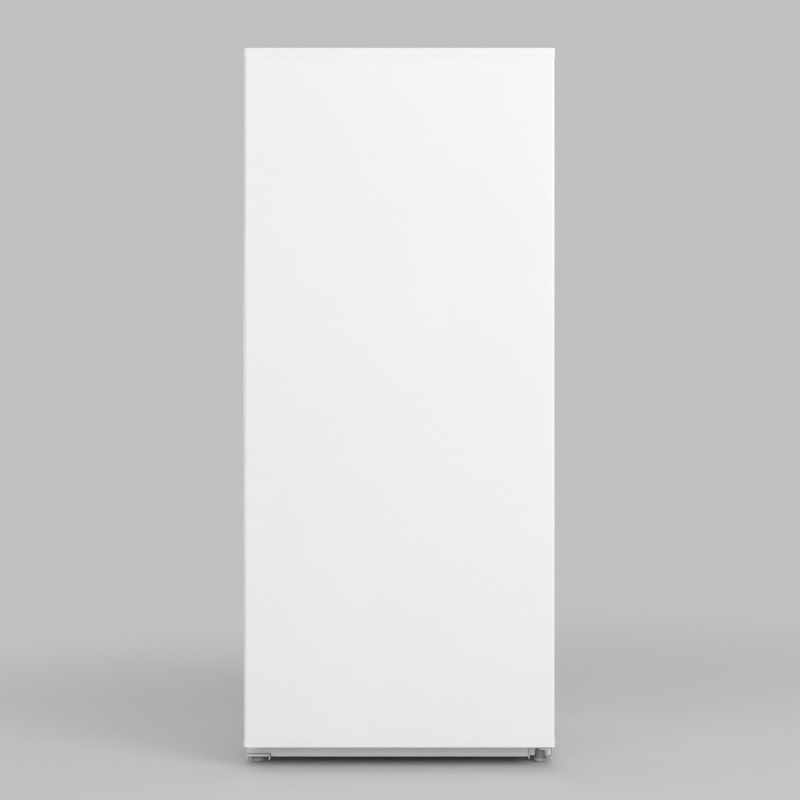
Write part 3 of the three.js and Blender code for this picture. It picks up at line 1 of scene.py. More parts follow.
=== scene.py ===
"""Looks of the upright freezer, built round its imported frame."""

import enum
import functools
import json
import logging
import math
from collections.abc import Callable, Iterable, Sequence
from dataclasses import dataclass

import bmesh
import bpy
from mathutils import Matrix, Vector


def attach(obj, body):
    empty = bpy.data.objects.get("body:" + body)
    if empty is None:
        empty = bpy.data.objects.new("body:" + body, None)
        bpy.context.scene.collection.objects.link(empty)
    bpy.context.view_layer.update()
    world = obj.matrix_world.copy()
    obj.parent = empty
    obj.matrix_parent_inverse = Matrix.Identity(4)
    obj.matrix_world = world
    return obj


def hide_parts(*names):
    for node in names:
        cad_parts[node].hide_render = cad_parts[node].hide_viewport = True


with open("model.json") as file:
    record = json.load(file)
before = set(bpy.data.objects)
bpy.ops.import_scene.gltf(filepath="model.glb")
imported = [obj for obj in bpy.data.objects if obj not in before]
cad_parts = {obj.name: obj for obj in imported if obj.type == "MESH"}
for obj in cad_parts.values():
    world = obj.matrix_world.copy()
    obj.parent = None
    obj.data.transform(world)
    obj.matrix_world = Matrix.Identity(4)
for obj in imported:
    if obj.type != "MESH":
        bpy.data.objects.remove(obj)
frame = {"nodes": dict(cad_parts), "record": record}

log = logging.getLogger("freezer")

MM = 0.001
WELD = 1e-6
Piece = bpy.types.Object
Flat = tuple[float, float]
Point = tuple[float, float, float]
Colour = tuple[float, float, float]
Block = tuple[Point, Point]
Outline = Callable[[float], Sequence[Flat]]


# ---------------------------------------------------------------- shader maths


class Value:
    """A shader socket that takes part in Python arithmetic."""

    def __init__(self, shader: "Shader", socket: bpy.types.NodeSocket) -> None:
        """Wraps one output socket of a shader."""
        self.shader, self.socket = shader, socket

    def _math(self, operation: str, first: "Value | float", second: "Value | float") -> "Value":
        """Adds one Math node.

        Args:
            operation: the node's operation.
            first: the left operand.
            second: the right operand.

        Returns:
            The node's result.
        """
        return self.shader.add("ShaderNodeMath", {"operation": operation}, {0: first, 1: second})

    def __add__(self, other: "Value | float") -> "Value":
        """Sum."""
        return self._math("ADD", self, other)

    __radd__ = __add__

    def __sub__(self, other: "Value | float") -> "Value":
        """Difference."""
        return self._math("SUBTRACT", self, other)

    def __rsub__(self, other: "Value | float") -> "Value":
        """Difference with a number on the left."""
        return self._math("SUBTRACT", other, self)

    def __mul__(self, other: "Value | float") -> "Value":
        """Product."""
        return self._math("MULTIPLY", self, other)

    __rmul__ = __mul__

    def __pow__(self, other: "Value | float") -> "Value":
        """Power."""
        return self._math("POWER", self, other)

    def __rpow__(self, other: "Value | float") -> "Value":
        """Power of a number on the left."""
        return self._math("POWER", other, self)

    def at_most(self, other: "Value | float") -> "Value":
        """The smaller of the two."""
        return self._math("MINIMUM", self, other)

    def between(self, low: float, high: float) -> "Value":
        """Smooth rise from 0 at low to 1 at high.

        Args:
            low: the value that gives 0.
            high: the value that gives 1.

        Returns:
            The smooth step.
        """
        inputs = {"Value": self, "From Min": low, "From Max": high}
        return self.shader.add("ShaderNodeMapRange", {"interpolation_type": "SMOOTHSTEP"}, inputs)


class Shader:
    """The nodes of one material or of the world, with lengths in metres at rest."""

    def __init__(self, owner: bpy.types.Material | bpy.types.World) -> None:
        """Starts with no nodes.

        Args:
            owner: the material or world that the nodes belong to.
        """
        owner.use_nodes = True
        self.owner, self.tree = owner, owner.node_tree
        self.tree.nodes.clear()

    @classmethod
    def material(cls, name: str) -> "Shader":
        """Starts a new material."""
        return cls(bpy.data.materials.new(f"{name}_finish"))

    def add(self, kind: str, settings: dict, inputs: dict, output: int | str = 0) -> Value | None:
        """Adds any node.

        Args:
            kind: the node's type.
            settings: its attributes, set first.
            inputs: values or links of its sockets, by name or number.
            output: the output that is returned.

        Returns:
            The wrapped output, or nothing for a node that has none.
        """
        node = self.tree.nodes.new(kind)
        for key, setting in settings.items():
            setattr(node, key, setting)
        for key, given in inputs.items():
            socket = node.inputs[key]
            if isinstance(given, Value):
                self.tree.links.new(given.socket, socket)
            elif socket.type == "RGBA":
                socket.default_value = (*given, 1.0)
            else:
                socket.default_value = given
        return Value(self, node.outputs[output]) if node.outputs else None

    def place(self, stretch: Point = (1.0, 1.0, 1.0)) -> Value:
        """The point's place at rest.

        Args:
            stretch: scale along the axes.

        Returns:
            The place.
        """
        here = self.add("ShaderNodeTexCoord", {}, {}, "Object")
        if stretch == (1.0, 1.0, 1.0):
            return here
        return self.add("ShaderNodeVectorMath", {"operation": "MULTIPLY"}, {0: here, 1: stretch})

    def axis(self, letter: str) -> Value:
        """One coordinate of the point's place at rest."""
        return self.add("ShaderNodeSeparateXYZ", {}, {0: self.place()}, letter)

    def noise(
        self, size: float, detail: float = 3.0, stretch: Point = (1.0, 1.0, 1.0), rough: float = 0.5
    ) -> Value:
        """Cloudy noise from 0 to 1.

        Args:
            size: the size of one cloud, in metres.
            detail: octaves of finer detail.
            stretch: scale of the place along the axes.
            rough: strength of the finer octaves.

        Returns:
            The noise.
        """
        inputs = {"Vector": self.place(stretch), "Scale": 1.0 / size, "Detail": detail, "Roughness": rough}
        return self.add("ShaderNodeTexNoise", {}, inputs)

    def cells(self, size: float, output: str = "Distance") -> Value:
        """Grains of the given size in metres."""
        return self.add("ShaderNodeTexVoronoi", {}, {"Vector": self.place(), "Scale": 1.0 / size}, output)

    def blend(self, share: Value | float, first: Value | Colour, second: Value | Colour) -> Value:
        """Mixes two colours.

        Args:
            share: the second colour's share.
            first: the colour at 0.
            second: the colour at 1.

        Returns:
            The mixed colour.
        """
        return self.add("ShaderNodeMix", {"data_type": "RGBA"}, {0: share, 6: first, 7: second}, 2)

    def relief(self, height: Value, depth: float, below: Value | None = None) -> Value:
        """Bump from a height field.

        Args:
            height: the field, from 0 to 1.
            depth: its depth in metres.
            below: a coarser relief under it.

        Returns:
            The normal.
        """
        inputs = {"Strength": 1.0, "Distance": depth, "Height": height}
        if below is not None:
            inputs["Normal"] = below
        return self.add("ShaderNodeBump", {}, inputs)

    def surface(self, **sockets: Value | float | Colour) -> Value:
        """A Principled surface; underscores in the names stand for spaces."""
        inputs = {key.replace("_", " "): given for key, given in sockets.items()}
        return self.add("ShaderNodeBsdfPrincipled", {}, inputs)

    def done(self, surface: Value) -> bpy.types.Material | bpy.types.World:
        """Connects the surface.

        Args:
            surface: the finished surface, or the world's background.

        Returns:
            The material or world.
        """
        ends = {bpy.types.Material: "ShaderNodeOutputMaterial", bpy.types.World: "ShaderNodeOutputWorld"}
        self.add(ends[type(self.owner)], {}, {"Surface": surface})
        return self.owner


# -------------------------------------------------------------------- finishes


@dataclass(frozen=True)
class Paint:
    """Baked powder paint on sheet steel, with a faint orange peel and a little dust low down."""

    name: str
    colour: Colour
    rough: float = 0.3
    peel: float = 0.0017
    dust: float = 0.05
    dust_colour: Colour = (0.42, 0.39, 0.35)
    dust_height: float = 0.32

    def make(self) -> bpy.types.Material:
        """Builds the material.

        Returns:
            The material.
        """
        s = Shader.material(self.name)
        cloud = s.noise(0.45, 4.0)
        low = 1 - s.axis("Z").between(0.0, self.dust_height)
        smudge = s.noise(0.09, 5.0, (1.0, 1.0, 0.5), 0.62).between(0.5, 0.78)
        dusty = low * smudge * self.dust
        deeper = tuple(c * 0.985 for c in self.colour)
        base = s.blend(cloud.between(0.3, 0.7), self.colour, deeper)
        base = s.blend(dusty, base, self.dust_colour)
        sheet = s.relief(s.noise(0.35, 1.0), 0.0006)
        normal = s.relief(s.noise(self.peel, 2.0), 0.00001, sheet)
        wiped = s.noise(0.16, 6.0, (1.0, 1.0, 0.6), 0.65).between(0.42, 0.72)
        rough = s.noise(0.05, 4.0) * 0.03 + wiped * 0.025 + (self.rough - 0.03) + dusty
        return s.done(s.surface(Base_Color=base, Roughness=rough, Normal=normal, IOR=1.5))


@dataclass(frozen=True)
class Moulding:
    """Moulded plastic with a fine grain and slight flow marks."""

    name: str
    colour: Colour
    rough: float = 0.42
    grain: float = 0.0007
    depth: float = 0.00004
    fade: float = 0.94

    def make(self) -> bpy.types.Material:
        """Builds the material.

        Returns:
            The material.
        """
        s = Shader.material(self.name)
        flow = s.noise(0.12, 4.0, (1.0, 1.0, 0.35))
        deeper = tuple(c * self.fade for c in self.colour)
        base = s.blend(flow.between(0.3, 0.75), self.colour, deeper)
        sink = s.relief(s.noise(0.16, 1.0), 0.0001)
        normal = s.relief(s.noise(self.grain, 2.0), self.depth, sink)
        rough = s.noise(0.02, 5.0) * 0.04 + (self.rough - 0.02)
        return s.done(s.surface(Base_Color=base, Roughness=rough, Normal=normal, IOR=1.5))


@dataclass(frozen=True)
class Galvanised:
    """Hot-dip zinc with its spangle, matt and bright in turns."""

    name: str
    spangle: float = 0.009
    tone: float = 0.62
    stain: Colour = (0.40, 0.395, 0.39)

    def make(self) -> bpy.types.Material:
        """Builds the material.

        Returns:
            The material.
        """
        s = Shader.material(self.name)
        flake = s.add("ShaderNodeSeparateColor", {}, {0: s.cells(self.spangle, "Color")}, 0)
        fern = s.noise(self.spangle * 0.16, 4.0)
        bright = flake * 0.7 + fern * 0.3
        t = self.tone
        base = s.blend(bright, (t * 0.91, t * 0.92, t * 0.94), (t * 1.06, t * 1.07, t * 1.08))
        stained = s.noise(0.11, 5.0, rough=0.6).between(0.52, 0.8)
        base = s.blend(stained * 0.12, base, self.stain)
        rough = 0.55 - bright * 0.1 + stained * 0.08
        normal = s.relief(flake * 0.4 + fern * 0.3, 0.00001)
        return s.done(s.surface(Base_Color=base, Roughness=rough, Normal=normal, Metallic=0.85))


@dataclass(frozen=True)
class BareMetal:
    """Drawn, rolled or turned metal, brushed along one axis."""

    name: str
    colour: Colour
    rough: float = 0.32
    brushed: Point = (1.0, 1.0, 1.0)
    tarnish: Colour = (0.25, 0.22, 0.18)
    tarnished: float = 0.15

    def make(self) -> bpy.types.Material:
        """Builds the material.

        Returns:
            The material.
        """
        s = Shader.material(self.name)
        streak = s.noise(0.0014, 3.0, self.brushed)
        spot = s.noise(0.03, 5.0, rough=0.62).between(0.5, 0.8)
        base = s.blend(streak * 0.2, self.colour, tuple(c * 0.7 for c in self.colour))
        base = s.blend(spot * self.tarnished, base, self.tarnish)
        rough = streak * 0.14 + spot * 0.15 + (self.rough - 0.07)
        normal = s.relief(streak, 0.00002)
        return s.done(s.surface(Base_Color=base, Roughness=rough, Normal=normal, Metallic=1.0))


@dataclass(frozen=True)
class Foam:
    """Blown urethane foam with its skin and open cells."""

    name: str
    colour: Colour = (0.72, 0.62, 0.38)
    aged: Colour = (0.62, 0.47, 0.24)

    def make(self) -> bpy.types.Material:
        """Builds the material.

        Returns:
            The material.
        """
        s = Shader.material(self.name)
        cell = s.cells(0.0022)
        base = s.blend(cell.between(0.0, 0.6), self.colour, tuple(c * 0.72 for c in self.colour))
        base = s.blend(s.noise(0.05, 4.0).between(0.4, 0.75) * 0.4, base, self.aged)
        normal = s.relief(cell, 0.0006, s.relief(s.noise(0.03, 3.0), 0.002))
        rough = s.noise(0.01, 2.0) * 0.1 + 0.82
        return s.done(s.surface(Base_Color=base, Roughness=rough, Normal=normal))


@dataclass(frozen=True)
class Rubber:
    """Soft vinyl or rubber, dull, with fine extrusion lines and a bloom of talc."""

    name: str
    colour: Colour
    rough: float = 0.6

    def make(self) -> bpy.types.Material:
        """Builds the material.

        Returns:
            The material.
        """
        s = Shader.material(self.name)
        bloom = s.noise(0.02, 5.0, rough=0.6)
        talc = tuple(c * 0.8 + 0.05 for c in self.colour)
        base = s.blend(bloom.between(0.35, 0.8) * 0.5, self.colour, talc)
        normal = s.relief(s.noise(0.0012, 3.0), 0.00004)
        rough = bloom * 0.2 + (self.rough - 0.1)
        return s.done(s.surface(Base_Color=base, Roughness=rough, Normal=normal))


@dataclass(frozen=True)
class Clear:
    """Clear plastic or glass: see-through where it is met straight on, milky or green at its edges."""

    name: str
    tint: Colour
    body: float = 0.12
    edge: float = 0.55
    rough: float = 0.08
    scuffs: float = 0.08

    def make(self) -> bpy.types.Material:
        """Builds the material.

        Returns:
            The material.
        """
        s = Shader.material(self.name)
        facing = s.add("ShaderNodeLayerWeight", {}, {"Blend": 0.35}, "Facing")
        scuff = s.noise(0.012, 6.0, rough=0.7).between(0.5, 0.85)
        share = (facing ** 2.5 * self.edge + scuff * self.scuffs + self.body).at_most(1.0)
        rough = scuff * 0.25 + self.rough
        wave = s.relief(s.noise(0.05, 2.0), 0.0003)
        milky = s.blend(scuff, self.tint, tuple(0.5 + c * 0.5 for c in self.tint))
        solid = s.surface(Base_Color=milky, Roughness=rough, Normal=wave, IOR=1.5)
        through = s.add("ShaderNodeBsdfTransparent", {}, {"Color": tuple(0.6 + c * 0.4 for c in self.tint)})
        return s.done(s.add("ShaderNodeMixShader", {}, {0: share, 1: through, 2: solid}))


@dataclass(frozen=True)
class Glow:
    """A frosted lamp behind its lens, lit softly."""

    name: str
    colour: Colour
    strength: float = 0.6

    def make(self) -> bpy.types.Material:
        """Builds the material.

        Returns:
            The material.
        """
        s = Shader.material(self.name)
        frost = s.noise(0.004, 3.0)
        lit = s.blend(frost, self.colour, tuple(c * 0.85 for c in self.colour))
        rough = 0.35 + frost * 0.1
        return s.done(
            s.surface(Base_Color=lit, Roughness=rough, Emission_Color=lit, Emission_Strength=self.strength)
        )


Look = Paint | Moulding | Galvanised | BareMetal | Foam | Rubber | Clear | Glow


class Finish(enum.Enum):
    """Every finish on the freezer, with the record's slot; the first of a slot is its usual one."""

    WHITE_PAINT = Paint("white_paint", (0.86, 0.867, 0.878)), "white_paint"
    WHITE_PLASTIC = (
        Moulding("white_plastic", (0.855, 0.862, 0.872), rough=0.3, grain=0.002, depth=0.000006, fade=0.98),
        "white_plastic",
    )
    LINER = (
        Moulding("liner_plastic", (0.86, 0.868, 0.876), rough=0.3, grain=0.004, depth=0.000006, fade=0.985),
        "liner_plastic",
    )
    GREY_PLASTIC = Moulding("grey_plastic", (0.30, 0.31, 0.32)), "grey_plastic"
    # The brackets' own grey steel, made much lighter as painted light, to stand in for light that doesn't
    # reach them under the door.
    GREY_STEEL = Paint("grey_steel", (0.74, 0.745, 0.755), rough=0.4, dust=0.2), "grey_steel"
    ZINC = Galvanised("zinc_steel"), "zinc_steel"
    BRIGHT_ZINC = BareMetal("bright_zinc", (0.66, 0.67, 0.68), tarnished=0.25), "zinc_steel"
    BLACK_PAINT = Paint("black_enamel", (0.018, 0.018, 0.019), rough=0.33, dust=0.5), "black_paint"
    BLACK_PLASTIC = Moulding("black_plastic", (0.03, 0.03, 0.031)), "black_plastic"
    FOAM = Foam("foam"), "foam"
    GASKET = Rubber("gasket", (0.70, 0.70, 0.69)), "gasket"
    BLACK_RUBBER = Rubber("black_rubber", (0.025, 0.025, 0.025)), "black_plastic"
    CLEAR = Clear("clear_plastic", (0.95, 0.972, 0.985), body=0.08, edge=0.6), "clear_plastic"
    GLASS = Clear("glass", (0.86, 0.945, 0.915), body=0.06, edge=0.7, rough=0.03, scuffs=0.02), "glass"
    ALUMINIUM = (
        BareMetal("aluminium", (0.78, 0.79, 0.80), rough=0.38, brushed=(0.1, 1.0, 1.0), tarnished=0.08),
        "aluminium",
    )
    COPPER = (
        BareMetal("copper", (0.72, 0.40, 0.26), rough=0.3, tarnish=(0.30, 0.13, 0.07), tarnished=0.5),
        "copper",
    )
    # Painted light: the kickplate's grey plastic is made near white, to stand in for light that doesn't reach
    # it under the door.
    KICK = (
        Moulding("kick_plastic", (0.80, 0.805, 0.815), rough=0.45, depth=0.00001, fade=0.97),
        "grey_plastic",
    )
    # Painted light: the feet's grey plastic is made lighter, to stand in for light that doesn't reach them
    # under the door.
    FOOT = Moulding("foot_plastic", (0.46, 0.465, 0.475), rough=0.45, depth=0.00001), "grey_plastic"
    INK = Moulding("grey_ink", (0.16, 0.17, 0.18), rough=0.5), "grey_plastic"
    INK_WHITE = Moulding("white_ink", (0.85, 0.85, 0.84), rough=0.5), "white_plastic"
    LAMP = Glow("lamp_glass", (1.0, 0.97, 0.90)), "clear_plastic"

    def __init__(self, look: Look, slot: str) -> None:
        """Keeps the look and the record's slot."""
        self.look, self.slot = look, slot

    @functools.cached_property
    def material(self) -> bpy.types.Material:
        """The finish's material, made once."""
        return self.look.make()


# ---------------------------------------------------------------- mesh toolkit


class Plane(enum.Enum):
    """How a flat outline's u, v and its thickness lie in the freezer's frame."""

    FLOOR = Matrix(((1, 0, 0, 0), (0, 1, 0, 0), (0, 0, 1, 0), (0, 0, 0, 1)))
    FRONT = Matrix(((1, 0, 0, 0), (0, 0, -1, 0), (0, 1, 0, 0), (0, 0, 0, 1)))
    SIDE = Matrix(((0, 0, 1, 0), (1, 0, 0, 0), (0, 1, 0, 0), (0, 0, 0, 1)))

    def point(self, u: float, v: float, depth: float) -> Vector:
        """A point in metres from millimetres: u, v and its place along the thickness axis."""
        away = -depth if self is Plane.FRONT else depth
        return (self.value @ Vector((u, v, away))) * MM


class Way(enum.Enum):
    """Which way a turned piece's axis points."""

    UP = Matrix(((1, 0, 0), (0, 1, 0), (0, 0, 1)))
    DOWN = Matrix(((1, 0, 0), (0, -1, 0), (0, 0, -1)))
    BACK = Matrix(((1, 0, 0), (0, 0, 1), (0, -1, 0)))
    FRONT = Matrix(((1, 0, 0), (0, 0, -1), (0, 1, 0)))
    RIGHT = Matrix(((0, 0, 1), (0, 1, 0), (-1, 0, 0)))
    LEFT = Matrix(((0, 0, -1), (0, 1, 0), (1, 0, 0)))


class Join(enum.Enum):
    """What one solid does to another."""

    CUT = "DIFFERENCE"
    ADD = "UNION"


def arc(centre: Flat, radius: float, start: float, end: float, steps: int = 8) -> list[Flat]:
    """Points on an arc.

    Args:
        centre: its middle.
        radius: its radius.
        start: the first angle, in degrees.
        end: the last angle, in degrees.
        steps: the number of chords.

    Returns:
        The points in order.
    """
    turns = [math.radians(start + (end - start) * i / steps) for i in range(steps + 1)]
    return [(centre[0] + radius * math.cos(t), centre[1] + radius * math.sin(t)) for t in turns]


def rounded(low: Flat, high: Flat, radius: float | Sequence[float], steps: int = 6) -> list[Flat]:
    """Rectangle with rounded corners.

    Args:
        low: its lowest corner.
        high: its highest corner.
        radius: one radius, or four from the low corner round by the right.
        steps: chords in a corner.

    Returns:
        The outline, anticlockwise.
    """
    radii = [radius] * 4 if isinstance(radius, (int, float)) else list(radius)
    corners = [(low[0], low[1]), (high[0], low[1]), (high[0], high[1]), (low[0], high[1])]
    inward = [(1, 1), (-1, 1), (-1, -1), (1, -1)]
    outline = []
    for i, ((x, y), (dx, dy), r) in enumerate(zip(corners, inward, radii)):
        if r <= 0:
            outline += [(x, y)] * (steps + 1)
        else:
            outline += arc((x + dx * r, y + dy * r), r, 180 + 90 * i, 270 + 90 * i, steps)
    return outline


def circle(centre: Flat, radius: float, sides: int = 32) -> list[Flat]:
    """Outline of a circle, anticlockwise."""
    return arc(centre, radius, 0, 360 * (sides - 1) / sides, sides - 1)


def inset_box(low: Flat, high: Flat, radius: float | Sequence[float], steps: int = 6) -> Outline:
    """A rounded rectangle that can be drawn smaller.

    Args:
        low: its lowest corner.
        high: its highest corner.
        radius: one radius, or four from the low corner round by the right.
        steps: chords in a corner.

    Returns:
        A function from an inset to the outline.
    """
    radii = [radius] * 4 if isinstance(radius, (int, float)) else list(radius)

    def outline(inset: float) -> list[Flat]:
        """The outline at this inset."""
        smaller = [max(r - inset, 0.2) for r in radii]
        return rounded((low[0] + inset, low[1] + inset), (high[0] - inset, high[1] - inset), smaller, steps)

    return outline


def fluted(centre: Flat, radius: float, depth: float, flutes: int, steps: int) -> Outline:
    """A fluted circle that can be drawn smaller.

    Args:
        centre: its middle.
        radius: its mean radius.
        depth: how far a flute's crest stands out.
        flutes: how many flutes it has.
        steps: chords in a flute.

    Returns:
        A function from an inset to the outline.
    """
    turns = [2 * math.pi * k / (flutes * steps) for k in range(flutes * steps)]

    def outline(inset: float) -> list[Flat]:
        """The outline at this inset."""
        radii = [radius - inset + depth * math.cos(flutes * t) for t in turns]
        return [(centre[0] + r * math.cos(t), centre[1] + r * math.sin(t)) for r, t in zip(radii, turns)]

    return outline


@dataclass
class Bench:
    """Makes pieces in the freezer's frame, from sizes in millimetres."""

    body: str
    sharp: float = 35.0
    softened: float = 0.4

    def piece(self, name: str, finish: Finish, mesh: bpy.types.Mesh, replaces: Iterable[str] = ()) -> None:
        """Turns a finished mesh into a piece of this body.

        Args:
            name: the piece's name.
            finish: its finish.
            mesh: its mesh, in the freezer's frame.
            replaces: the CAD nodes that it stands for.
        """
        mesh.name = name
        self._dress(mesh, finish)
        mesh.set_sharp_from_angle(angle=math.radians(self.sharp))
        obj = bpy.data.objects.new(name, mesh)
        bpy.context.scene.collection.objects.link(obj)
        self._shade(obj, keep_sharp=True)
        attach(obj, self.body)
        for node in replaces:
            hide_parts(node)
        log.info("%s: %d faces, rides on %s", name, len(mesh.polygons), self.body)

    def carry(self, node: str, finish: Finish) -> None:
        """Dresses a CAD node that keeps its shape, with softened edges.

        Args:
            node: the node's name.
            finish: its finish.
        """
        obj = frame["nodes"][node]
        self._dress(obj.data, finish)
        weld = obj.modifiers.new("weld", "WELD")
        weld.merge_threshold = WELD
        flat = obj.modifiers.new("flat", "DECIMATE")
        flat.decimate_type, flat.angle_limit = "DISSOLVE", math.radians(0.5)
        bevel = obj.modifiers.new("edges", "BEVEL")
        bevel.limit_method, bevel.angle_limit = "ANGLE", math.radians(32)
        bevel.width, bevel.segments, bevel.harden_normals = self.softened * MM, 2, False
        self._shade(obj, keep_sharp=False)
        log.info("%s: carried over", node)

    @staticmethod
    def _dress(mesh: bpy.types.Mesh, finish: Finish) -> None:
        """Gives a mesh its finish and makes it smooth.

        Args:
            mesh: the mesh.
            finish: its finish.
        """
        mesh.materials.clear()
        mesh.materials.append(finish.material)
        mesh.polygons.foreach_set("use_smooth", [True] * len(mesh.polygons))

    @staticmethod
    def _shade(obj: Piece, keep_sharp: bool) -> None:
        """Lets the larger faces lead the shading of the bends between them."""
        shade = obj.modifiers.new("shade", "WEIGHTED_NORMAL")
        shade.mode, shade.weight, shade.keep_sharp = "FACE_AREA", 60, keep_sharp

    @staticmethod
    def mesh_of(build: bmesh.types.BMesh, weld: float = WELD) -> bpy.types.Mesh:
        """Welds and turns the faces out.

        Args:
            build: the faces, which are used up.
            weld: how near points are joined, in metres.

        Returns:
            The mesh.
        """
        bmesh.ops.remove_doubles(build, verts=build.verts, dist=weld)
        bmesh.ops.recalc_face_normals(build, faces=build.faces)
        mesh = bpy.data.meshes.new("made")
        build.to_mesh(mesh)
        build.free()
        return mesh

    def rings(self, loops: Sequence[Sequence[Vector]], closed: bool = False) -> bpy.types.Mesh:
        """Skin over loops of equal counts, with a face on both ends.

        Args:
            loops: the loops in order, in metres.
            closed: whether the last loop meets the first, which leaves no ends.

        Returns:
            The mesh.
        """
        build = bmesh.new()
        grid = [[build.verts.new(p) for p in loop] for loop in loops]
        rows, count = len(grid), len(grid[0])
        for i in range(rows if closed else rows - 1):
            here, there = grid[i], grid[(i + 1) % rows]
            for j in range(count):
                k = (j + 1) % count
                build.faces.new([here[j], here[k], there[k], there[j]])
        if not closed:
            build.faces.new(grid[0])
            build.faces.new(grid[-1])
        return self.mesh_of(build)

    def plate(
        self, plane: Plane, outlines: Sequence[Sequence[Flat]], low: float, high: float, edge: float = 0.4
    ) -> bpy.types.Mesh:
        """Flat plate with softened edges; every outline after the first is a hole in it.

        Args:
            plane: how it lies.
            outlines: the outer outline and the holes.
            low: its low face.
            high: its high face.
            edge: the radius of its edges.

        Returns:
            The mesh.
        """
        curve = bpy.data.curves.new("outline", "CURVE")
        curve.dimensions, curve.fill_mode = "2D", "BOTH"
        for outline in outlines:
            spline = curve.splines.new("POLY")
            spine = [p for i, p in enumerate(outline) if math.dist(p, outline[i - 1]) > 1e-4]
            spline.points.add(len(spine) - 1)
            for point, (u, v) in zip(spline.points, spine):
                point.co = (u * MM, v * MM, 0.0, 1.0)
            spline.use_cyclic_u = True
        curve.extrude = ((high - low) / 2 - edge) * MM
        curve.bevel_depth, curve.offset, curve.bevel_resolution = edge * MM, -edge * MM, 2
        mesh = self._from_curve(curve)
        mesh.transform(Matrix.Translation(plane.point(0, 0, (high + low) / 2)) @ plane.value)
        return self._cleaned(mesh)

    @staticmethod
    def _from_curve(curve: bpy.types.Curve) -> bpy.types.Mesh:
        """Converts a curve to a mesh.

        Args:
            curve: the curve, which is used up.

        Returns:
            The mesh.
        """
        holder = bpy.data.objects.new("holder", curve)
        bpy.context.scene.collection.objects.link(holder)
        bpy.context.view_layer.update()
        graph = bpy.context.evaluated_depsgraph_get()
        mesh = bpy.data.meshes.new_from_object(holder.evaluated_get(graph))
        bpy.data.objects.remove(holder)
        bpy.data.curves.remove(curve)
        return mesh

    def _cleaned(self, mesh: bpy.types.Mesh) -> bpy.types.Mesh:
        """Welds a mesh's doubled points.

        Args:
            mesh: the mesh as converted.

        Returns:
            The welded mesh.
        """
        build = bmesh.new()
        build.from_mesh(mesh)
        return self.mesh_of(build, 2 * WELD)

    def turned(
        self, profile: Sequence[Flat], centre: Point, way: Way = Way.UP, sides: int = 48, closed: bool = False
    ) -> bpy.types.Mesh:
        """Solid of revolution.

        Args:
            profile: (radius, height) points; open profiles start and end on the axis or get flat ends.
            centre: the point at height 0.
            way: the way that its axis points.
            sides: facets around.
            closed: whether the profile is a closed loop, as on a ring.

        Returns:
            The mesh.
        """
        turns = [2 * math.pi * k / sides for k in range(sides)]
        loops = []
        for radius, height in profile:
            reach = max(radius, 1e-4)
            spots = [Vector((reach * math.cos(t), reach * math.sin(t), height)) for t in turns]
            loops.append([(Vector(centre) + way.value @ p) * MM for p in spots])
        return self.rings(loops, closed=closed)

    def merged(self, meshes: Iterable[bpy.types.Mesh]) -> bpy.types.Mesh:
        """Joins meshes into one.

        Args:
            meshes: the meshes, which are used up.

        Returns:
            The joined mesh.
        """
        build = bmesh.new()
        for mesh in meshes:
            build.from_mesh(mesh)
            bpy.data.meshes.remove(mesh)
        whole = bpy.data.meshes.new("joined")
        build.to_mesh(whole)
        build.free()
        return whole

    def stacked(
        self, outline: Outline, stops: Sequence[Flat], plane: Plane = Plane.FLOOR, closed: bool = False
    ) -> bpy.types.Mesh:
        """Skin over one outline at several insets and heights.

        Args:
            outline: gives the outline at an inset.
            stops: (inset, height) in order.
            plane: how the outline lies.
            closed: whether the stops are a closed loop, as on a ring.

        Returns:
            The mesh.
        """
        loops = [[plane.point(u, v, at) for u, v in outline(inset)] for inset, at in stops]
        return self.rings(loops, closed=closed)

    def tub(
        self, outline: Outline, low: float, brim: Callable[[float], float], wall: float
    ) -> bpy.types.Mesh:
        """Open moulded tub with rounded heels and a thicker brim.

        Args:
            outline: gives the outline at an inset.
            low: the height of its underside.
            brim: the height of its brim at a depth y.
            wall: the thickness of its walls.

        Returns:
            The mesh.
        """
        w = wall + 0.7
        base = [(9.0, 0.0), (6.0, 0.4), (3.2, 1.9), (1.5, 4.4), (0.8, 8.5)]
        edge = [
            (0.8, -7.0), (0.1, -6.0), (0.0, -5.4), (0.0, -0.9), (0.4, -0.2), (1.2, 0.0), (w - 1.0, 0.0),
            (w - 0.3, -0.3), (w, -1.1),
        ]
        inside = [(w, wall + 7.0), (w + 0.7, wall + 3.6), (w + 2.4, wall + 1.2), (w + 6.0, wall)]
        loops = []
        for stops, hung in ((base, False), (edge, True), (inside, False)):
            for inset, rise in stops:
                spots = [(x, y, (brim(y) if hung else low) + rise) for x, y in outline(inset)]
                loops.append([Plane.FLOOR.point(*spot) for spot in spots])
        return self.rings(loops)

    def block(self, low: Point, high: Point) -> bpy.types.Mesh:
        """Plain block, as stock for formed pieces."""
        corners = [low[:2], (high[0], low[1]), high[:2], (low[0], high[1])]
        return self.stacked(lambda _: corners, [(0, low[2]), (0, high[2])])

    @staticmethod
    def combined(base: bpy.types.Mesh, tool: bpy.types.Mesh, join: Join = Join.CUT) -> bpy.types.Mesh:
        """Cuts or joins two solids.

        Args:
            base: the solid that is worked.
            tool: the solid that cuts it or joins it.
            join: which of the two it does.

        Returns:
            The worked mesh.
        """
        work, cutter = bpy.data.objects.new("work", base), bpy.data.objects.new("cutter", tool)
        for obj in (work, cutter):
            bpy.context.scene.collection.objects.link(obj)
        boolean = work.modifiers.new("boolean", "BOOLEAN")
        boolean.object, boolean.operation, boolean.solver = cutter, join.value, "EXACT"
        bpy.context.view_layer.update()
        graph = bpy.context.evaluated_depsgraph_get()
        result = bpy.data.meshes.new_from_object(work.evaluated_get(graph))
        for obj, mesh in ((work, base), (cutter, tool)):
            bpy.data.objects.remove(obj)
            bpy.data.meshes.remove(mesh)
        return result

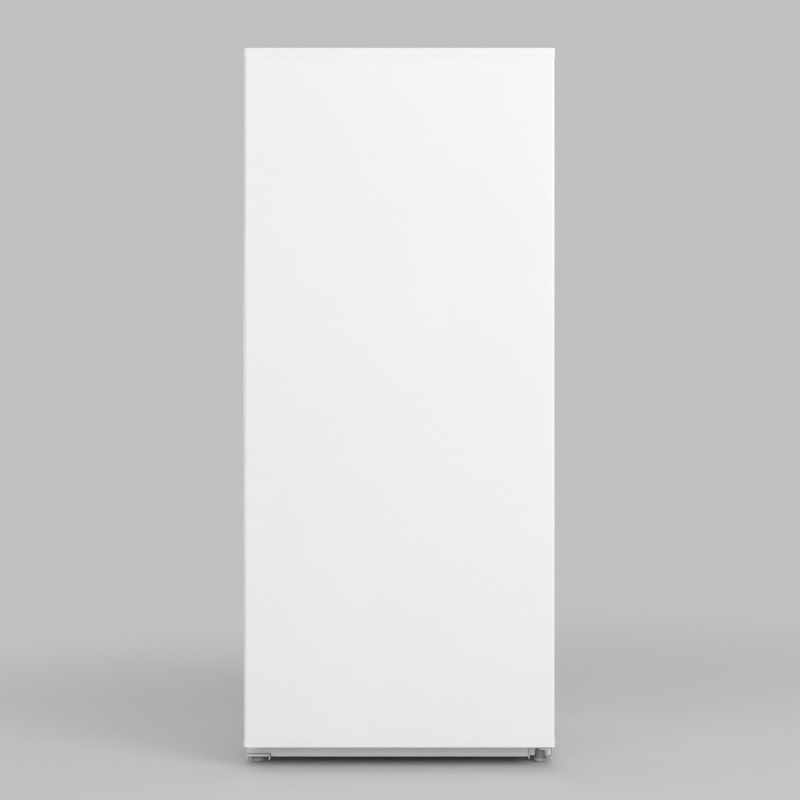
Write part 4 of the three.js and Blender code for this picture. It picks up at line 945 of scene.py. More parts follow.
    def formed(
        self, add: Sequence[Block], cut: Sequence[Block] = (), edge: float = 4.0, steps: int = 3
    ) -> bpy.types.Mesh:
        """Blocks joined, others cut away, and every edge rounded.

        Args:
            add: (low, high) corners of the blocks.
            cut: those of the blocks that are cut away.
            edge: the radius of the edges.
            steps: chords in an edge.

        Returns:
            The mesh.
        """
        mesh = self.block(*add[0])
        for corners in add[1:]:
            mesh = self.combined(mesh, self.block(*corners), Join.ADD)
        for corners in cut:
            mesh = self.combined(mesh, self.block(*corners))
        build = bmesh.new()
        build.from_mesh(mesh)
        bpy.data.meshes.remove(mesh)
        bmesh.ops.remove_doubles(build, verts=build.verts, dist=WELD)
        bmesh.ops.dissolve_limit(build, angle_limit=math.radians(1), verts=build.verts, edges=build.edges)
        edges = [e for e in build.edges if len(e.link_faces) == 2 and e.calc_face_angle() > math.radians(30)]
        bmesh.ops.bevel(
            build, geom=edges, offset=edge * MM, segments=steps, profile=0.5, affect="EDGES",
            clamp_overlap=True,
        )
        return self.mesh_of(build)

    def lettering(self, text: str, size: float, at: Point, turn: float = 0.0) -> bpy.types.Mesh:
        """Raised figures that face the front.

        Args:
            text: the figures.
            size: their height.
            at: their middle.
            turn: their turn in degrees.

        Returns:
            The mesh.
        """
        curve = bpy.data.curves.new("figures", "FONT")
        curve.body, curve.size, curve.extrude = text, size * MM, 0.12 * MM
        curve.align_x, curve.align_y = "CENTER", "CENTER"
        mesh = self._from_curve(curve)
        spin = Matrix.Rotation(math.radians(turn), 4, "Z")
        mesh.transform(Matrix.Translation(Vector(at) * MM) @ Plane.FRONT.value @ spin)
        return self._cleaned(mesh)

    def screw(self, head: Point, way: Way, size: float = 5.0) -> bpy.types.Mesh:
        """Hex washer-head screw standing on the given point.

        Args:
            head: the middle of the washer's underside.
            way: the way that the head faces.
            size: the radius of its washer.

        Returns:
            The mesh.
        """
        hexagon = size * 0.62
        washer = [(0, 0.05), (size * 0.98, 0.05), (size, 0.3), (size * 0.94, 0.9), (hexagon, 1.2), (0, 1.2)]
        crown = [(0, 1.0), (hexagon, 1.0), (hexagon, 3.2), (size * 0.5, 3.8), (0, 3.9)]
        return self.merged([self.turned(washer, head, way, 24), self.turned(crown, head, way, 6)])


# ----------------------------------------------------------------------- stage


@dataclass(frozen=True)
class StudioLight:
    """One soft light; a strong one isn't mirrored, because its image would burn out the white panels."""

    name: str
    place: Point
    aim: Point
    size: Flat
    watts: float
    mirrored: bool = True

    def build(self) -> None:
        """Hangs the light."""
        data = bpy.data.lights.new(self.name, "AREA")
        data.shape, data.energy = "RECTANGLE", self.watts
        data.size, data.size_y = self.size
        light = bpy.data.objects.new(self.name, data)
        light.visible_glossy = self.mirrored
        light.location = self.place
        light.rotation_euler = (Vector(self.place) - Vector(self.aim)).to_track_quat("Z", "Y").to_euler()
        bpy.context.scene.collection.objects.link(light)


@dataclass
class Stage:
    """Floor, background, lights and the camera of the photograph."""

    backdrop: Colour = (0.52, 0.53, 0.54)
    room_light: float = 0.58
    floor: Colour = (0.62, 0.63, 0.64)
    floor_reach: float = 40.0
    floor_fade: Flat = (1.1, 3.4)
    camera_place: Point = (0.002, -4.7685, 0.988)
    lens: float = 74.23
    sensor: float = 36.0
    lights: tuple[StudioLight, ...] = (
        StudioLight("key", (4.0, -3.9, 2.6), (0.1, 0.0, 1.35), (2.6, 2.6), 146.0, mirrored=False),
        StudioLight("fill", (-3.0, -4.4, 1.8), (0.0, 0.0, 1.25), (2.2, 2.2), 44.0, mirrored=False),
        StudioLight("sheen", (1.4, -3.4, 4.4), (0.0, 0.0, 1.2), (1.1, 1.1), 14.0),
        StudioLight("back", (-2.6, 3.8, 1.0), (0.0, 0.2, 0.9), (4.2, 1.6), 44.0),
    )

    def build(self) -> None:
        """Sets the stage."""
        self._camera()
        self._floor()
        self._world()
        for light in self.lights:
            light.build()
        bpy.context.scene.view_settings.view_transform = "Standard"

    def _camera(self) -> None:
        """Puts the camera where the photograph was taken."""
        data = bpy.data.cameras.new("camera")
        data.lens, data.sensor_width = self.lens, self.sensor
        camera = bpy.data.objects.new("camera", data)
        camera.location, camera.rotation_euler = self.camera_place, (math.pi / 2, 0.0, 0.0)
        bpy.context.scene.collection.objects.link(camera)
        bpy.context.scene.camera = camera

    def _floor(self) -> None:
        """Lays a wide plain floor that fades into the background."""
        shader = Shader.material("floor")
        away = shader.add("ShaderNodeVectorMath", {"operation": "LENGTH"}, {0: shader.place()}, "Value")
        tone = shader.noise(0.8, 3.0)
        base = shader.blend(tone, self.floor, tuple(c * 0.97 for c in self.floor))
        near = shader.surface(Base_Color=base, Roughness=0.85 + tone * 0.1, Specular_IOR_Level=0.15)
        far = shader.add("ShaderNodeEmission", {}, {"Color": self.backdrop, "Strength": 1.0})
        mixed = shader.add("ShaderNodeMixShader", {}, {0: away.between(*self.floor_fade), 1: near, 2: far})
        corners = [(-1, -1), (1, -1), (1, 1), (-1, 1)]
        reach = self.floor_reach
        build = bmesh.new()
        build.faces.new([build.verts.new((x * reach, y * reach, 0.0)) for x, y in corners])
        mesh = Bench.mesh_of(build)
        mesh.materials.append(shader.done(mixed))
        ground = bpy.data.objects.new("floor", mesh)
        bpy.context.scene.collection.objects.link(ground)

    def _world(self) -> None:
        """Lights the room evenly and shows the backdrop's colour behind the freezer."""
        world = bpy.data.worlds.new("room")
        bpy.context.scene.world = world
        shader = Shader(world)
        kinds = ("Camera", "Glossy", "Transmission")
        camera, glossy, through = (
            shader.add("ShaderNodeLightPath", {}, {}, f"Is {kind} Ray") for kind in kinds
        )
        seen = (camera + glossy + through).at_most(1.0)
        room = shader.add("ShaderNodeBackground", {}, {"Color": (1.0, 1.0, 1.0), "Strength": self.room_light})
        view = shader.add("ShaderNodeBackground", {}, {"Color": self.backdrop, "Strength": 1.0})
        shader.done(shader.add("ShaderNodeMixShader", {}, {0: seen, 1: room, 2: view}))


# -------------------------------------------------------------------- the door

BIN_BOTTOMS = tuple(486.0 + 262.8 * i for i in range(5))


@dataclass
class DoorShell:
    """The door's painted skin and the pocket that it is pulled by."""

    half: float = 415.0
    front: float = -368.5
    back: float = -306.5
    bottom: float = 82.0
    top: float = 1902.0
    corner: float = 9.0
    sheet: float = 1.0
    fold: float = 14.0
    pocket_y: Flat = (-350.5, -318.5)
    pocket_z: Flat = (930.0, 1230.0)
    pocket_depth: float = 22.0
    pocket_wall: float = 1.9
    gap: float = 0.3

    def build(self) -> None:
        """Makes the shell."""
        bench = Bench("door")
        self._skin(bench)
        self._pocket(bench)

    def _outline(self, inset: float) -> list[Flat]:
        """The skin's open section seen from above, from the left fold round the front to the right one.

        Args:
            inset: how far inside the outer face.

        Returns:
            The outline.
        """
        h, f, b, r = self.half - inset, self.front + inset, self.back - inset, self.corner - inset
        left = [(-h + self.fold - inset, b), (-h + 1.2, b), (-h, b - 1.2)]
        sides = [(-h, self.pocket_y[1] + self.gap), (-h, self.pocket_y[0] - self.gap)]
        front = arc((-h + r, f + r), r, 180, 270, 12) + arc((h - r, f + r), r, 270, 360, 12)
        return [*left, *sides, *front, (h, b - 1.2), (h - 1.2, b), (h - self.fold + inset, b)]

    def _skin(self, bench: Bench) -> None:
        """Makes the bent sheet, with the hole for the pocket from the outline's point near to far.

        Args:
            bench: the bench that it is made on.
        """
        heights = [self.bottom, self.pocket_z[0] - self.gap, self.pocket_z[1] + self.gap, self.top]
        section = [*self._outline(0.0), *reversed(self._outline(self.sheet))]
        whole = len(section)
        near, far = 3, 4
        near_inside, far_inside = whole - 1 - near, whole - 1 - far
        build = bmesh.new()
        grid = [[build.verts.new(Plane.FLOOR.point(x, y, z)) for x, y in section] for z in heights]
        for i, (row, above) in enumerate(zip(grid, grid[1:])):
            for j in range(whole):
                if i == 1 and j in (near, far_inside):
                    continue
                k = (j + 1) % whole
                build.faces.new([row[j], row[k], above[k], above[j]])
        for row in (grid[0], grid[-1]):
            for j in range(whole // 2 - 1):
                build.faces.new([row[j], row[j + 1], row[whole - 2 - j], row[whole - 1 - j]])
        low, high = grid[1], grid[2]
        for row in (low, high):
            build.faces.new([row[near], row[far], row[far_inside], row[near_inside]])
        for out, within in ((near, near_inside), (far, far_inside)):
            build.faces.new([low[out], high[out], high[within], low[within]])
        bench.piece("door_sheet", Finish.WHITE_PAINT, bench.mesh_of(build), ["door_skin"])

    def _pocket(self, bench: Bench) -> None:
        """Makes the moulded finger pocket, with a slim rim over the edge of the sheet.

        Args:
            bench: the bench that it is made on.
        """
        low, high = (self.pocket_y[0], self.pocket_z[0]), (self.pocket_y[1], self.pocket_z[1])

        def ring(grow: float, x: float, radius: float) -> list[Vector]:
            """One outline of the pocket, grown and set at x."""
            outline = rounded((low[0] - grow, low[1] - grow), (high[0] + grow, high[1] + grow), radius, 5)
            return [Plane.SIDE.point(u, v, x) for u, v in outline]

        edge, deep, wall = -self.half, -self.half + self.pocket_depth, self.pocket_wall
        inside = [
            (3.0, edge, 6.0), (2.6, edge - 0.7, 5.8), (1.6, edge - 1.0, 5.4), (0.2, edge - 0.6, 5.0),
            (-0.3, edge + 0.8, 4.6), (-1.6, deep - 3.0, 4.2), (-2.6, deep - 0.8, 3.6), (-4.5, deep, 3.0),
        ]
        outside = [
            (-4.5, deep + wall, 3.0), (0.4, deep + wall, 5.0), (0.4, edge + 0.2, 5.0), (1.4, edge, 5.2),
        ]
        cup = bench.rings([ring(*stop) for stop in inside + outside], closed=True)
        floor = bench.rings([ring(-4.4, deep - 0.02, 3.0), ring(-4.4, deep + wall - 0.02, 3.0)])
        bench.piece("handle_recess", Finish.WHITE_PLASTIC, bench.merged([cup, floor]), ["door_handle_pocket"])


@dataclass
class DoorCaps:
    """The moulded caps that close the door's sheet at its top and bottom."""

    half: float = 416.2
    front: float = -368.5
    back: float = -306.5
    edge: float = 9.0
    rear: float = 4.0
    hinge_low: Flat = (342.0, -362.5)
    hinge_high: Flat = (440.0, -280.0)
    hinge_heights: Flat = (1910.0, 1940.0)
    pin: Flat = (392.0, -339.5)
    bore: float = 9.1
    top_bore: Flat = (1890.0, 1920.0)
    bottom_bore: Flat = (50.0, 90.0)

    def build(self) -> None:
        """Makes both caps."""
        bench = Bench("door")
        corners = (self.edge, self.edge, self.rear, self.rear)
        outline = inset_box((-self.half, self.front), (self.half, self.back), corners, 10)
        top = bench.stacked(outline, [
            (1.4, 1902.1), (0.4, 1902.1), (0, 1902.5), (0, 1924.8), (0.3, 1926.1), (1.0, 1927.1),
            (2.0, 1927.8), (3.2, 1928.0),
        ])
        heights = [(0, height) for height in self.hinge_heights]
        sunk = bench.stacked(inset_box(self.hinge_low, self.hinge_high, 6), heights)
        top = bench.combined(bench.combined(top, sunk), self._pin_way(bench, *self.top_bore))
        bench.piece("top_cap", Finish.WHITE_PLASTIC, top, ["door_top_cap"])
        bottom = bench.stacked(outline, [
            (1.4, 81.9), (0.4, 81.9), (0, 81.5), (0, 62.8), (0.3, 61.6), (1.0, 60.6), (2.0, 60.1),
            (3.0, 60.0),
        ])
        bottom = bench.combined(bottom, self._pin_way(bench, *self.bottom_bore))
        bench.piece("bottom_cap", Finish.WHITE_PLASTIC, bottom, ["door_bottom_cap"])

    def _pin_way(self, bench: Bench, low: float, high: float) -> bpy.types.Mesh:
        """The round tool that makes way for a hinge pin from one height to another."""
        return bench.turned([(self.bore, low), (self.bore, high)], (*self.pin, 0), sides=32)


@dataclass
class DoorLining:
    """The door's formed inner panel with its raised frame, and the magnetic gasket."""

    half: float = 409.0
    low: float = 82.4
    high: float = 1901.6
    face: float = -304.5
    rear: float = -318.0
    plug_half: float = 337.0
    plug_low: float = 138.0
    plug_high: float = 1830.0
    plug_face: float = -281.5
    frame_low: float = 440.0
    frame_width: float = 30.0
    frame_face: float = -240.5
    recess: float = 40.0
    ledge_depths: Flat = (-283.5, -247.5)
    ledge_reach: float = 10.0
    seal_low: Flat = (-390.0, 92.0)
    seal_high: Flat = (390.0, 1886.0)

    def build(self) -> None:
        """Makes the lining."""
        bench = Bench("door")
        half, low, high, face = self.plug_half, self.plug_low, self.plug_high, self.plug_face
        rear, w = self.rear, self.frame_width
        add = [
            ((-self.half, rear, self.low), (self.half, self.face, self.high)),
            ((-half, rear, low), (half, face, high)),
            ((-half, rear, self.frame_low), (-half + w, self.frame_face, high)),
            ((half - w, rear, self.frame_low), (half, self.frame_face, high)),
            ((-half, rear, high - w), (half, self.frame_face, high)),
            ((-half, rear, self.frame_low), (half, self.frame_face, self.frame_low + w)),
        ]
        inner, near, far = half - self.recess, face - 1.5, face + 30
        panel = ((-inner, near, low + 36), (inner, far, self.frame_low - self.recess))
        shapes = [bench.formed(add, [panel], edge=5.0, steps=4)]
        for z in BIN_BOTTOMS:
            for side in (-1, 1):
                left, right = sorted((side * (half - w - self.ledge_reach), side * (half - w + 4)))
                back, front = self.ledge_depths
                ledge = ((left, back, z - 8.3), (right, front, z - 0.3))
                shapes.append(bench.formed([ledge], edge=1.6, steps=2))
        bench.piece("door_inner_panel", Finish.LINER, bench.merged(shapes), ["door_liner"])
        seal = [
            (0.0, -304.2), (0.5, -302.7), (1.9, -301.9), (0.9, -300.9), (1.0, -299.6), (2.0, -298.9),
            (5.2, -298.8), (6.0, -299.2), (6.8, -298.8), (13.6, -298.8), (14.8, -299.3), (15.1, -300.5),
            (13.9, -301.5), (15.8, -302.6), (16.0, -304.2),
        ]
        outline = inset_box(self.seal_low, self.seal_high, 2.0, 3)
        ring = bench.stacked(outline, seal, Plane.FRONT, closed=True)
        bench.piece("seal", Finish.GASKET, ring, ["door_gasket"])


@dataclass
class DoorBins:
    """The five clear bins on the door, low behind and high in front, each with two pressed lines."""

    half: float = 306.0
    back: float = -280.5
    depth: float = 104.0
    high: float = 100.0
    low: float = 64.0
    lip: float = 14.0
    wall: float = 2.5
    corner_steps: int = 6
    bend: float = 30.0
    line_rises: Flat = (22.0, 30.0)
    line_height: float = 2.6
    line_margin: float = 30.0

    def _outline(self, inset: float) -> list[Flat]:
        """The bin from above, with extra points where its ends start to slope.

        Args:
            inset: how far inside the outer face.

        Returns:
            The outline.
        """
        front = self.back + self.depth
        corners = (4.0, 4.0, 12.0, 12.0)
        box = inset_box((-self.half, self.back), (self.half, front), corners, self.corner_steps)(inset)
        bends = [front - self.lip + step for step in (-8.0, -4.0, 0.0)]
        right = [(self.half - inset, y) for y in bends]
        middle = len(box) // 2
        return [*box[:middle], *right, *box[middle:], *((-x, y) for x, y in reversed(right))]

    def _rise(self, y: float) -> float:
        """Height of the brim over the bin's underside.

        Args:
            y: the depth that it is measured at.

        Returns:
            The height.
        """
        slope = (y - self.back) / (self.depth - self.lip)
        eased = 1 - math.log1p(math.exp(self.bend * (1 - slope))) / self.bend
        return self.low + (self.high - self.low) * max(0.0, min(1.0, eased))

    def build(self) -> None:
        """Makes the bins."""
        bench = Bench("door")
        front = self.back + self.depth
        for number, bottom in enumerate(BIN_BOTTOMS, 1):
            shapes = [bench.tub(self._outline, bottom, lambda y: bottom + self._rise(y), self.wall)]
            reach = self.half - self.line_margin
            for z in (bottom + rise for rise in self.line_rises):
                line = ((-reach, front - 2.2, z), (reach, front - 0.1, z + self.line_height))
                shapes.append(bench.formed([line], edge=0.6, steps=2))
            bench.piece(f"bin_{number}", Finish.CLEAR, bench.merged(shapes), [f"door_bin_{number}"])


# ----------------------------------------------------------- inside the cabinet


@dataclass
class BottomDrawer:
    """The deep drawer under the lowest shelf, with its runners, front lines and finger grip."""

    low: Point = (-332.0, -269.5, 134.0)
    high: Point = (332.0, 28.5, 392.0)
    corner: float = 12.0
    wall: float = 3.0
    grip: float = 90.0
    reach: float = 24.0
    runner: float = 345.0
    runner_ends: Flat = (40.0, 12.0)
    line_rises: Point = (60.0, 72.0, 84.0)
    line_height: float = 3.0
    line_margin: float = 44.0

    def build(self) -> None:
        """Makes the drawer."""
        bench = Bench("drawer")
        (_, front, bottom), (side, back, top) = self.low, self.high
        outline = inset_box(self.low[:2], self.high[:2], self.corner, 8)
        shapes = [bench.tub(outline, bottom, lambda _: top, self.wall)]
        for way in (-1, 1):
            left, right = sorted((way * (side - 2.0), way * self.runner))
            near, far = front + self.runner_ends[0], back - self.runner_ends[1]
            runner = ((left, near, top - 8), (right, far, top - 5))
            shapes.append(bench.formed([runner], edge=0.9, steps=2))
        shapes.append(bench.formed([
            ((-self.grip, front + 1.2, top - 3.0), (self.grip, front + self.reach, top)),
            ((-self.grip, front + self.reach - 2.4, top - 11.0), (self.grip, front + self.reach, top)),
        ], edge=0.9))
        reach = side - self.line_margin
        for z in (bottom + rise for rise in self.line_rises):
            line = ((-reach, front + 0.1, z), (reach, front + 2.4, z + self.line_height))
            shapes.append(bench.formed([line], edge=0.7, steps=2))
        bench.piece("deep_drawer", Finish.CLEAR, bench.merged(shapes), ["freezer_drawer"])


@dataclass
class TemperatureKnob:
    """The thermostat's knob with its figures, and the mark on the housing that they turn past."""

    centre: Point = (85.0, -158.8, 1823.7)
    radius: float = 14.75
    dial: float = 5.0
    reach: float = 15.0
    figures: tuple[float, ...] = (52.0, 17.0, -18.0, -53.0, -127.0, -162.0, 163.0)
    figure_ring: float = 10.7
    figure_size: float = 4.2
    grip_half: Flat = (3.5, 13.2)
    mark_span: Flat = (22.0, 17.6)
    mark_half: float = 2.4
    mark_depths: Flat = (-158.4, -158.7)

    def build(self) -> None:
        """Makes the knob and the mark."""
        bench = Bench("knob")
        x, y, z = self.centre
        face, tip = y - self.dial, y - self.reach
        rim = fluted((x, z), self.radius, 0.22, 36, 4)
        stops = [(0.5, y), (0, y - 0.5), (0, face + 1.4), (0.5, face + 0.5), (1.4, face)]
        dial = bench.stacked(rim, stops, Plane.FRONT)
        across, up = self.grip_half
        grip = bench.stacked(inset_box((x - across, z - up), (x + across, z + up), 3.4, 6), [
            (-1.6, y - 4.6), (-0.7, y - 5.4), (0, y - 6.6), (0.3, tip + 1.8), (0.9, tip + 0.6), (2.0, tip),
        ], Plane.FRONT)
        shaft = bench.turned([(0, -1), (3.2, -1), (3.2, 8.4), (2.8, 8.5), (0, 8.5)], (x, y, z), Way.BACK, 24)
        bench.piece("knob_body", Finish.GREY_PLASTIC, bench.merged([dial, grip, shaft]), ["temperature_knob"])
        shapes = []
        for number, angle in enumerate(self.figures, 1):
            turn = math.radians(angle)
            spot = (x + self.figure_ring * math.cos(turn), face - 0.06, z + self.figure_ring * math.sin(turn))
            shapes.append(bench.lettering(str(number), self.figure_size, spot, angle - 90))
        line = ((x - 0.5, tip - 0.25, z + 6.0), (x + 0.5, tip + 0.4, z + 11.0))
        shapes.append(bench.formed([line], edge=0.15, steps=1))
        bench.piece("knob_figures", Finish.INK_WHITE, bench.merged(shapes))
        self._mark()

    def _mark(self) -> None:
        """Makes the small pointer on the housing, left of the knob."""
        bench = Bench("cabinet")
        x, _, z = self.centre
        (left, right), half = (x - away for away in self.mark_span), self.mark_half

        def outline(inset: float) -> list[Flat]:
            """The pointer's triangle at an inset."""
            return [(left + inset, z - half + inset), (right - inset, z), (left + inset, z + half - inset)]

        back, front = self.mark_depths
        mark = bench.stacked(outline, [(0, back), (0.1, front)], Plane.FRONT)
        bench.piece("setting_mark", Finish.INK, mark)


@dataclass
class Lamp:
    """The lamp above the lens of the control housing, with its holder."""

    low: Point = (-92.0, -112.0, 1813.0)
    high: Point = (32.0, -26.0, 1817.0)
    lights: int = 4
    first: float = 16.0
    pitch: float = 31.0
    depth: float = -69.0

    def build(self) -> None:
        """Makes the lamp."""
        bench = Bench("cabinet")
        board = bench.formed([(self.low, self.high)], edge=1.0, steps=2)
        bench.piece("lamp_board", Finish.WHITE_PLASTIC, board)
        dome = [(0, -1.6), (4.0, -1.6), (5.2, -0.8), (5.4, 0.3), (0, 0.3)]
        left, _, under = self.low
        spots = [(left + self.first + self.pitch * i, self.depth, under) for i in range(self.lights)]
        lights = [bench.turned(dome, spot, sides=24) for spot in spots]
        bench.piece("lamp_lights", Finish.LAMP, bench.merged(lights))


@dataclass
class AirCover:
    """What is fixed to the evaporator's cover: the fan's ring, the air slots' rims and the screw plugs."""

    face: float = 219.5
    fan: Flat = (0.0, 800.0)
    plug_side: float = 282.0
    plug_heights: tuple[float, ...] = (372.0, 1080.0, 1780.0)
    outlets: tuple[float, ...] = (943.0, 1296.0, 1649.0)
    outlet_columns: Flat = (-210.0, 90.0)
    outlet_width: float = 120.0
    returns: float = 335.6
    return_count: int = 6
    return_width: float = 45.0
    return_pitch: float = 75.0
    slot_height: float = 12.0

    def _slots(self) -> list[tuple[Flat, Flat]]:
        """Lays out every air slot.

        Returns:
            The lowest and highest corners of each.
        """
        lows = [(x, z, self.outlet_width) for z in self.outlets for x in self.outlet_columns]
        for i in range(self.return_count):
            middle = self.return_pitch * (i - (self.return_count - 1) / 2)
            lows.append((middle - self.return_width / 2, self.returns, self.return_width))
        return [((x, z), (x + width, z + self.slot_height)) for x, z, width in lows]

    def build(self) -> None:
        """Makes the ring, the slots' rims and vanes, and the plugs."""
        bench = Bench("cabinet")
        ring = [
            (53.4, -0.4), (53.4, 1.2), (54.4, 2.2), (57.4, 2.6), (60.6, 2.0), (62.0, 0.4), (62.2, -0.3),
            (58, -0.5),
        ]
        hoop = bench.turned(ring, (self.fan[0], self.face, self.fan[1]), Way.FRONT, 72, closed=True)
        bench.piece("fan_ring", Finish.LINER, hoop)
        rim = [(-5.4, 0.3), (-5.0, -0.8), (-4.0, -1.5), (-1.6, -1.6), (-0.4, -1.2), (0.3, -0.2), (0.3, 0.6)]
        stops = [(inset, self.face + y) for inset, y in rim]
        rims, vanes = [], []
        for low, high in self._slots():
            rims.append(bench.stacked(inset_box(low, high, 3.0, 4), stops, Plane.FRONT, closed=True))
            middle = (low[1] + high[1]) / 2
            vane = (
                (low[0] - 0.5, self.face + 0.3, middle - 0.9),
                (high[0] + 0.5, self.face + 2.8, middle + 0.9),
            )
            vanes.append(bench.formed([vane], edge=0.4, steps=2))
        bench.piece("outlet_rims", Finish.LINER, bench.merged(rims))
        bench.piece("outlet_vanes", Finish.LINER, bench.merged(vanes))
        plug = [(0, -0.3), (7.4, -0.3), (7.3, 0.4), (6.2, 1.2), (3.5, 1.6), (0, 1.7)]
        spots = [(side * self.plug_side, self.face, z) for z in self.plug_heights for side in (-1, 1)]
        plugs = [bench.turned(plug, spot, Way.FRONT, 32) for spot in spots]
        bench.piece("cover_plugs", Finish.LINER, bench.merged(plugs))


@dataclass
class Shelf:
    """One glass shelf in its moulded frame; the lowest is number 1."""

    number: int
    lowest: float = 444.3
    pitch: float = 353.0
    half: float = 347.0
    front: float = -164.5
    back: float = 215.5
    corner: float = 10.0
    pane_low: Flat = (-333.7, -151.2)
    pane_high: Flat = (333.7, 202.2)
    height: float = 14.0
    ribs: int = 3
    rib_pitch: float = 2.6
    rib_margin: float = 26.0

    def build(self) -> None:
        """Makes the frame and the glass."""
        bench = Bench("cabinet")
        high = self.lowest + self.pitch * (self.number - 1)
        low = high - self.height
        outline = inset_box((-self.half, self.front), (self.half, self.back), self.corner, 8)
        profile = [
            (1.2, low), (0.3, low + 0.4), (0, low + 1.2), (0, high - 2.6), (0.5, high - 1.1),
            (1.6, high - 0.2), (3.0, high), (12.2, high), (12.8, high - 0.3), (13.0, high - 0.9),
            (13.0, high - 4.3), (17.6, high - 4.3), (18.0, high - 4.7), (18.0, low + 3.4), (17.6, low + 3.0),
            (4.2, low + 3.0), (3.6, low),
        ]
        shapes = [bench.stacked(outline, profile, closed=True)]
        reach = self.half - self.rib_margin
        for i in range(self.ribs):
            z = high - 4.6 - self.rib_pitch * i
            rib = ((-reach, self.front - 0.45, z - 0.6), (reach, self.front + 1.0, z + 0.6))
            shapes.append(bench.formed([rib], edge=0.4, steps=2))
        frame_name, glass_name = f"shelf_frame_{self.number}", f"shelf_glass_{self.number}"
        bench.piece(f"shelf_rail_{self.number}", Finish.WHITE_PLASTIC, bench.merged(shapes), [frame_name])
        pane = inset_box(self.pane_low, self.pane_high, 2.0, 4)
        glass = bench.stacked(pane, [(0.5, high - 4.0), (0, high - 3.5), (0, high - 0.5), (0.5, high)])
        bench.piece(f"shelf_pane_{self.number}", Finish.GLASS, glass, [glass_name])


# -------------------------------------------------- round and under the cabinet


@dataclass
class Foot:
    """One levelling foot: its pad, fluted grip and threaded stud."""

    name: str
    across: float
    top: float
    stud: float
    depth: float = -256.5
    pitch: float = 1.5
    barrel: float = 12.55
    flute: float = 0.42
    flutes: int = 16

    def build(self) -> None:
        """Makes the foot."""
        bench = Bench(f"foot_{self.name}")
        top, stud, pitch = self.top, self.stud, self.pitch
        centre = (self.across, self.depth, 0.0)
        dome = [
            (0, 0), (12, 0), (14.6, 0.8), (17.2, 2.8), (18.6, 5.0), (19, 7.2), (19, 10.6), (18.4, 11.8),
            (16.5, 12.9), (13.2, 13.8), (11, 14.4), (0, 14.4),
        ]
        grip = fluted(centre[:2], self.barrel, self.flute, self.flutes, 6)
        stops = [(0.6, 13.2), (0.0, 14.6), (0.0, top - 1.4), (0.5, top - 0.4), (1.4, top)]
        pad = bench.merged([bench.turned(dome, centre, sides=64), bench.stacked(grip, stops)])
        # Painted light: the pad's lighter grey stands in for light that doesn't reach under the door.
        bench.piece(f"foot_pad_{self.name}", Finish.FOOT, pad, [f"front_foot_{self.name}"])
        thread = [(0, top - 3.0), (4.4, top - 3.0)]
        for turn in range(int((stud - top) / pitch)):
            thread += [(4.45, top - 0.5 + pitch * turn), (3.75, top + 0.25 + pitch * turn)]
        thread += [(3.5, stud - 0.2), (2.9, stud), (0, stud)]
        bench.piece(f"foot_stud_{self.name}", Finish.BRIGHT_ZINC, bench.turned(thread, centre, sides=24))


@dataclass
class Roller:
    """One rear roller, which turns on its stub axle."""

    name: str
    inner: float
    way: Way
    width: float = 18.0
    depth: float = 326.5
    height: float = 20.0

    def build(self) -> None:
        """Makes the roller."""
        bench = Bench(f"roller_{self.name}")
        half = [
            (4.6, 0.4), (5.0, 0.0), (8.2, 0.0), (8.9, 0.7), (9.4, 2.4), (15.4, 2.4), (16.0, 0.8),
            (16.8, 0.2), (18.6, 0.3), (19.6, 1.1), (20.0, 2.4),
        ]
        profile = half + [(r, self.width - h) for r, h in reversed(half)]
        wheel = bench.turned(profile, (self.inner, self.depth, self.height), self.way, 64, closed=True)
        bench.piece(f"roller_wheel_{self.name}", Finish.BLACK_PLASTIC, wheel, [f"rear_roller_{self.name}"])


@dataclass
class BackPanel:
    """The zinc sheet on the back, with its pressed beads and its row of screws."""

    half: float = 413.7
    low: float = 249.6
    high: float = 1910.7
    face: float = 356.5
    beads: tuple[float, ...] = (-255.0, -85.0, 85.0, 255.0)
    bead_half: float = 11.0
    bead_low: float = 420.0
    bead_high: float = 1770.0
    screw_side: float = 404.0
    screw_low: float = 318.0
    screw_pitch: float = 262.0
    screw_rows: int = 7
    top_screws: tuple[float, ...] = (-270.0, 0.0, 270.0)
    top_screw_height: float = 1901.0
    screw_size: float = 5.2

    def build(self) -> None:
        """Makes the panel."""
        bench = Bench("cabinet")
        outline = rounded((-self.half, self.low), (self.half, self.high), 3, 3)
        shapes = [bench.plate(Plane.FRONT, [outline], self.face - 1, self.face, 0.2)]
        swell = [(0, -0.15), (1.0, 0.1), (2.6, 0.9), (4.4, 1.8), (6.4, 2.3), (9.0, 2.5)]
        stops = [(inset, self.face + up) for inset, up in swell]
        half = self.bead_half
        for x in self.beads:
            bead = inset_box((x - half, self.bead_low), (x + half, self.bead_high), half, 10)
            shapes.append(bench.stacked(bead, stops, Plane.FRONT))
        bench.piece("back_sheet", Finish.ZINC, bench.merged(shapes), ["cabinet_back_panel"])
        heights = [self.screw_low + self.screw_pitch * i for i in range(self.screw_rows)]
        spots = [(side * self.screw_side, z) for side in (-1, 1) for z in heights]
        spots += [(x, self.top_screw_height) for x in self.top_screws]
        screws = [bench.screw((x, self.face, z), Way.BACK, self.screw_size) for x, z in spots]
        bench.piece("back_screws", Finish.BRIGHT_ZINC, bench.merged(screws))


